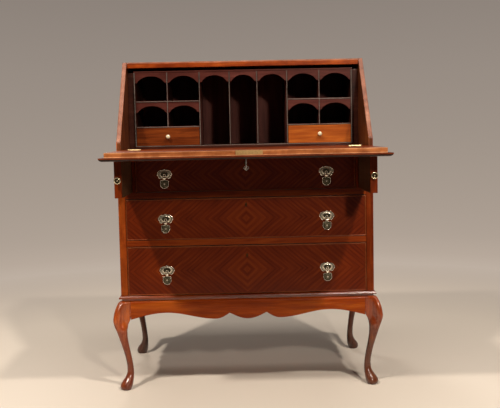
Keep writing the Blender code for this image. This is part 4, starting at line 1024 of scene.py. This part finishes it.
def make_key():
    """The key hangs in the fall's lock: its bow of three rings below, its bit inside."""
    low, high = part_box("fall_key")
    x, y = (low.x + high.x) / 2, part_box("fall_lock")[0].y + KEY_INSET
    bow = low.z + BOW_RISE * MM
    start = bow + SHAFT_RISE * MM
    bm = bmesh.new()
    shaft = [(along * MM, radius * MM) for along, radius in KEY_SHAFT]
    shaft.append((high.z - start, shaft[-1][1]))
    add_turned(bm, (x, y, start), shaft, 20, (0, 0, 1))
    add_box(
        bm,
        (x - BIT_HALF * MM, y, high.z - BIT_FOOT * MM),
        (x + BIT_HALF * MM, y + BIT_REACH * MM, high.z - BIT_TOP * MM),
    )
    turns = circle_turns(RING_SIDES)
    for angle, reach, radius in BOW_RINGS:
        a, size = math.radians(angle), radius * MM
        cx = x + reach * MM * math.cos(a)
        cz = bow + RINGS_RISE * MM + reach * MM * math.sin(a)
        ring = [(cx + size * math.cos(t), y, cz + size * math.sin(t)) for t in turns]
        add_tube(bm, ring, RING_THICK * MM, 10, True)
    collar = [(along * MM, radius * MM) for along, radius in KEY_COLLAR]
    add_turned(bm, (x, y, bow + COLLAR_RISE * MM), collar, 16, (0, 0, 1))
    piece("fall_key_cut", bm, steel, "key", ("fall_key",), 40)


make_key()


# Screws in the hinges and the lock

SLOT_SHARE, SCREW_STEPS = 0.18, 12
# Height over the plate, and share of the radius
SCREW_RINGS = ((-0.3, 1.0), (0.12, 1.0), (0.28, 0.86))
HINGE_LINE = FRONT - 0.0003
LEAF_MIDDLE = 0.0108
# Along the leaf and out from its middle; then shares of the lock plate
LEAF_SCREWS, LEAF_SCREW_RADIUS = ((-13, -1.2), (0, 2.4), (13, -1.2)), 2.3
LOCK_SCREWS, LOCK_SCREW_RADIUS = ((0.09, 0.16), (0.91, 0.16), (0.09, 0.86), (0.91, 0.86)), 2.6


def screw(bm, x, y, z, radius, turn):
    """A countersunk screw head, level with z, with its slot across it."""
    start = math.asin(SLOT_SHARE)
    c, s = math.cos(turn), math.sin(turn)
    for sign in (-1, 1):
        half = []
        for i in range(SCREW_STEPS + 1):
            a = start + (math.pi - 2 * start) * i / SCREW_STEPS
            u, v = radius * math.cos(a), sign * radius * math.sin(a)
            half.append((u * c - v * s, u * s + v * c))
        rings = []
        for lift, scale in SCREW_RINGS:
            rings.append([(x + u * scale, y + v * scale, z + lift * MM) for u, v in half])
        add_loft(bm, rings)


for side, sign in SIDES:
    for node, body, way in ((f"bed_leaf_{side}", "bureau", 1), (f"fall_leaf_{side}", "fall", -1)):
        low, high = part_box(node)
        x, y = (low.x + high.x) / 2, HINGE_LINE + way * LEAF_MIDDLE
        bm = bmesh.new()
        for i, (along, out) in enumerate(LEAF_SCREWS):
            place = (x + along * MM, y + way * out * MM, BED)
            screw(bm, *place, LEAF_SCREW_RADIUS * MM, 0.6 * i + sign)
        piece(f"{node}_screws", bm, pale_brass, body)

low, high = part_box("fall_lock")
bm = bmesh.new()
for i, (u, v) in enumerate(LOCK_SCREWS):
    place = (low.x + (high.x - low.x) * u, low.y + (high.y - low.y) * v, high.z)
    screw(bm, *place, LOCK_SCREW_RADIUS * MM, 0.9 * i)
piece("fall_lock_screws", bm, pale_brass, "fall")


# Floor, backdrop, light and camera

PAPER_NEAR = (0.8, 0.72, 0.63)
# The far paper's glowing tones by distance, darker further off as painted shade
PAPER_FAR_GLOW = (
    (0.15, (0.62, 0.53, 0.445)),
    (0.36, (0.47, 0.39, 0.325)),
    (0.62, (0.37, 0.31, 0.262)),
    (0.76, (0.31, 0.262, 0.226)),
    (0.9, (0.23, 0.196, 0.172)),
)
# Metres from the feet: the near paper's end, the far one's start and its last tone
NEAR_END, FAR_START, FAR_REACH = 1.2, 2.4, 8.0
# The paper's glow is darker in front, as painted shade: fully up to one depth, and not from
# another
FRONT_FULL, FRONT_END, FRONT_PAINTED_SHADE = -1.6, 0.3, (0.5, 0.5, 0.5)
BOUNCE_TONE = (0.2, 0.2, 0.2)


def paper():
    """Plain paper: pale round the feet, and away from them a glowing tone that darkens with
    distance as painted shade.
    """
    shader = Shader("paper", Roughness=0.95, Specular_IOR_Level=0.0)
    x, y, z = shader.axes()
    reach = shader.math("ADD", shader.math("MULTIPLY", x, x), shader.math("MULTIPLY", y, y))
    reach = shader.math("ADD", shader.math("POWER", reach, 0.5), z)
    far = shader.ramp(shader.math("MULTIPLY", reach, 1 / FAR_REACH), PAPER_FAR_GLOW)
    in_front = shader.spread(y, FRONT_FULL, FRONT_END, 1.0, 0.0)
    far = shader.mix(in_front, far, FRONT_PAINTED_SHADE, "MULTIPLY")
    away = shader.spread(reach, NEAR_END, FAR_START, 0.0, 1.0)
    pale = shader.mix(away, PAPER_NEAR, far)
    path = shader.node("ShaderNodeLightPath", {}).outputs
    seen = shader.math("MAXIMUM", path["Is Camera Ray"], path["Is Glossy Ray"])
    seen = shader.math("MAXIMUM", seen, path["Is Transmission Ray"])
    bounce = shader.mix(1.0, pale, BOUNCE_TONE, "MULTIPLY")
    shader.colour(shader.mix(seen, bounce, pale))
    plain = shader.node("ShaderNodeEmission", {"Color": far}).outputs[0]
    share = shader.math("MULTIPLY", away, seen)
    blend = shader.node("ShaderNodeMixShader", {0: share, 1: shader.main.outputs[0], 2: plain})
    shader.link(blend.outputs[0], shader.tree.nodes["Material Output"].inputs["Surface"])
    return shader.material


# A round bowl: a flat floor, a curve up, and a wall
BOWL_FLOOR, BOWL_CURVE, BOWL_TOP, BOWL_SIDES = 3.6, 1.2, 4.4, 96
FLOOR_RINGS, CURVE_RINGS = 6, 16
line = [(BOWL_FLOOR * i / FLOOR_RINGS, 0.0) for i in range(1, FLOOR_RINGS + 1)]
for i in range(1, CURVE_RINGS + 1):
    a = math.pi / 2 * i / CURVE_RINGS
    line.append((BOWL_FLOOR + BOWL_CURVE * math.sin(a), BOWL_CURVE * (1 - math.cos(a))))
line.append((BOWL_FLOOR + BOWL_CURVE, BOWL_TOP))
turns = circle_turns(BOWL_SIDES)
bm = bmesh.new()
rings = [[(r * math.cos(a), r * math.sin(a), z) for a in turns] for r, z in line]
add_loft(bm, rings, (True, False))
backdrop = add_object("backdrop", finish_mesh(bm, "backdrop", 40))
backdrop.data.materials.append(paper())


def lamp(name, place, target, size, power, colour, length=0):
    """A round lamp, or with a length a strip, that looks at its target."""
    data = bpy.data.lights.new(name, "AREA")
    data.shape = "RECTANGLE" if length else "DISK"
    data.size, data.size_y = length or size, size
    data.energy = power
    data.color = colour
    made = add_object(name, data)
    made.location = place
    made.rotation_mode = "QUATERNION"
    made.rotation_quaternion = (Vector(target) - Vector(place)).to_track_quat("-Z", "Y")


WARM, PALE = (1.0, 0.9, 0.78), (1.0, 0.93, 0.86)
MIDDLE = (0.0, 0.0, 0.5)
lamp("high_lamp", (1.35, -2.3, 3.5), MIDDLE, 0.22, 76, WARM)
lamp("low_lamp", (0.9, -3.22, 1.8), MIDDLE, 0.22, 37, WARM)
lamp("left_lamp", (-1.5, -1.9, 3.3), MIDDLE, 0.22, 76, WARM)
lamp("top_lamp", (0.0, -0.55, 3.8), (0.0, -0.1, 0.5), 0.7, 42, PALE, 2.2)
lamp("back_lamp", (-0.8, 2.7, 2.7), (0.0, 0.2, 0.3), 0.8, 22, PALE)

world = bpy.data.worlds.new("studio")
scene = bpy.context.scene
scene.world = world
world.use_nodes = True
sky = world.node_tree.nodes["Background"]
sky.inputs["Color"].default_value = (0.62, 0.56, 0.52, 1)
sky.inputs["Strength"].default_value = 0.05
scene.view_settings.view_transform = "Standard"

# The camera's place, turns and focal length, the last in the picture's dots
CAMERA_PLACE = Vector((-0.0211, -2.481 + FRONT, 0.7688))
YAW, PITCH, ROLL, FOCAL, PICTURE_WIDTH = 0.0133, 0.0846, -0.0201, 833.82, 500
SENSOR = 36
forward = Vector(
    (math.sin(YAW) * math.cos(PITCH), math.cos(YAW) * math.cos(PITCH), -math.sin(PITCH))
)
right = forward.cross(Vector((0, 0, 1))).normalized()
up = right.cross(forward)
right, up = (
    math.cos(ROLL) * right + math.sin(ROLL) * up,
    -math.sin(ROLL) * right + math.cos(ROLL) * up,
)
camera = add_object("camera", bpy.data.cameras.new("camera"))
camera.data.sensor_width = SENSOR
camera.data.lens = FOCAL * SENSOR / PICTURE_WIDTH
turn = Matrix((right, up, -forward)).transposed()
camera.matrix_world = Matrix.Translation(CAMERA_PLACE) @ turn.to_4x4()
scene.camera = camera
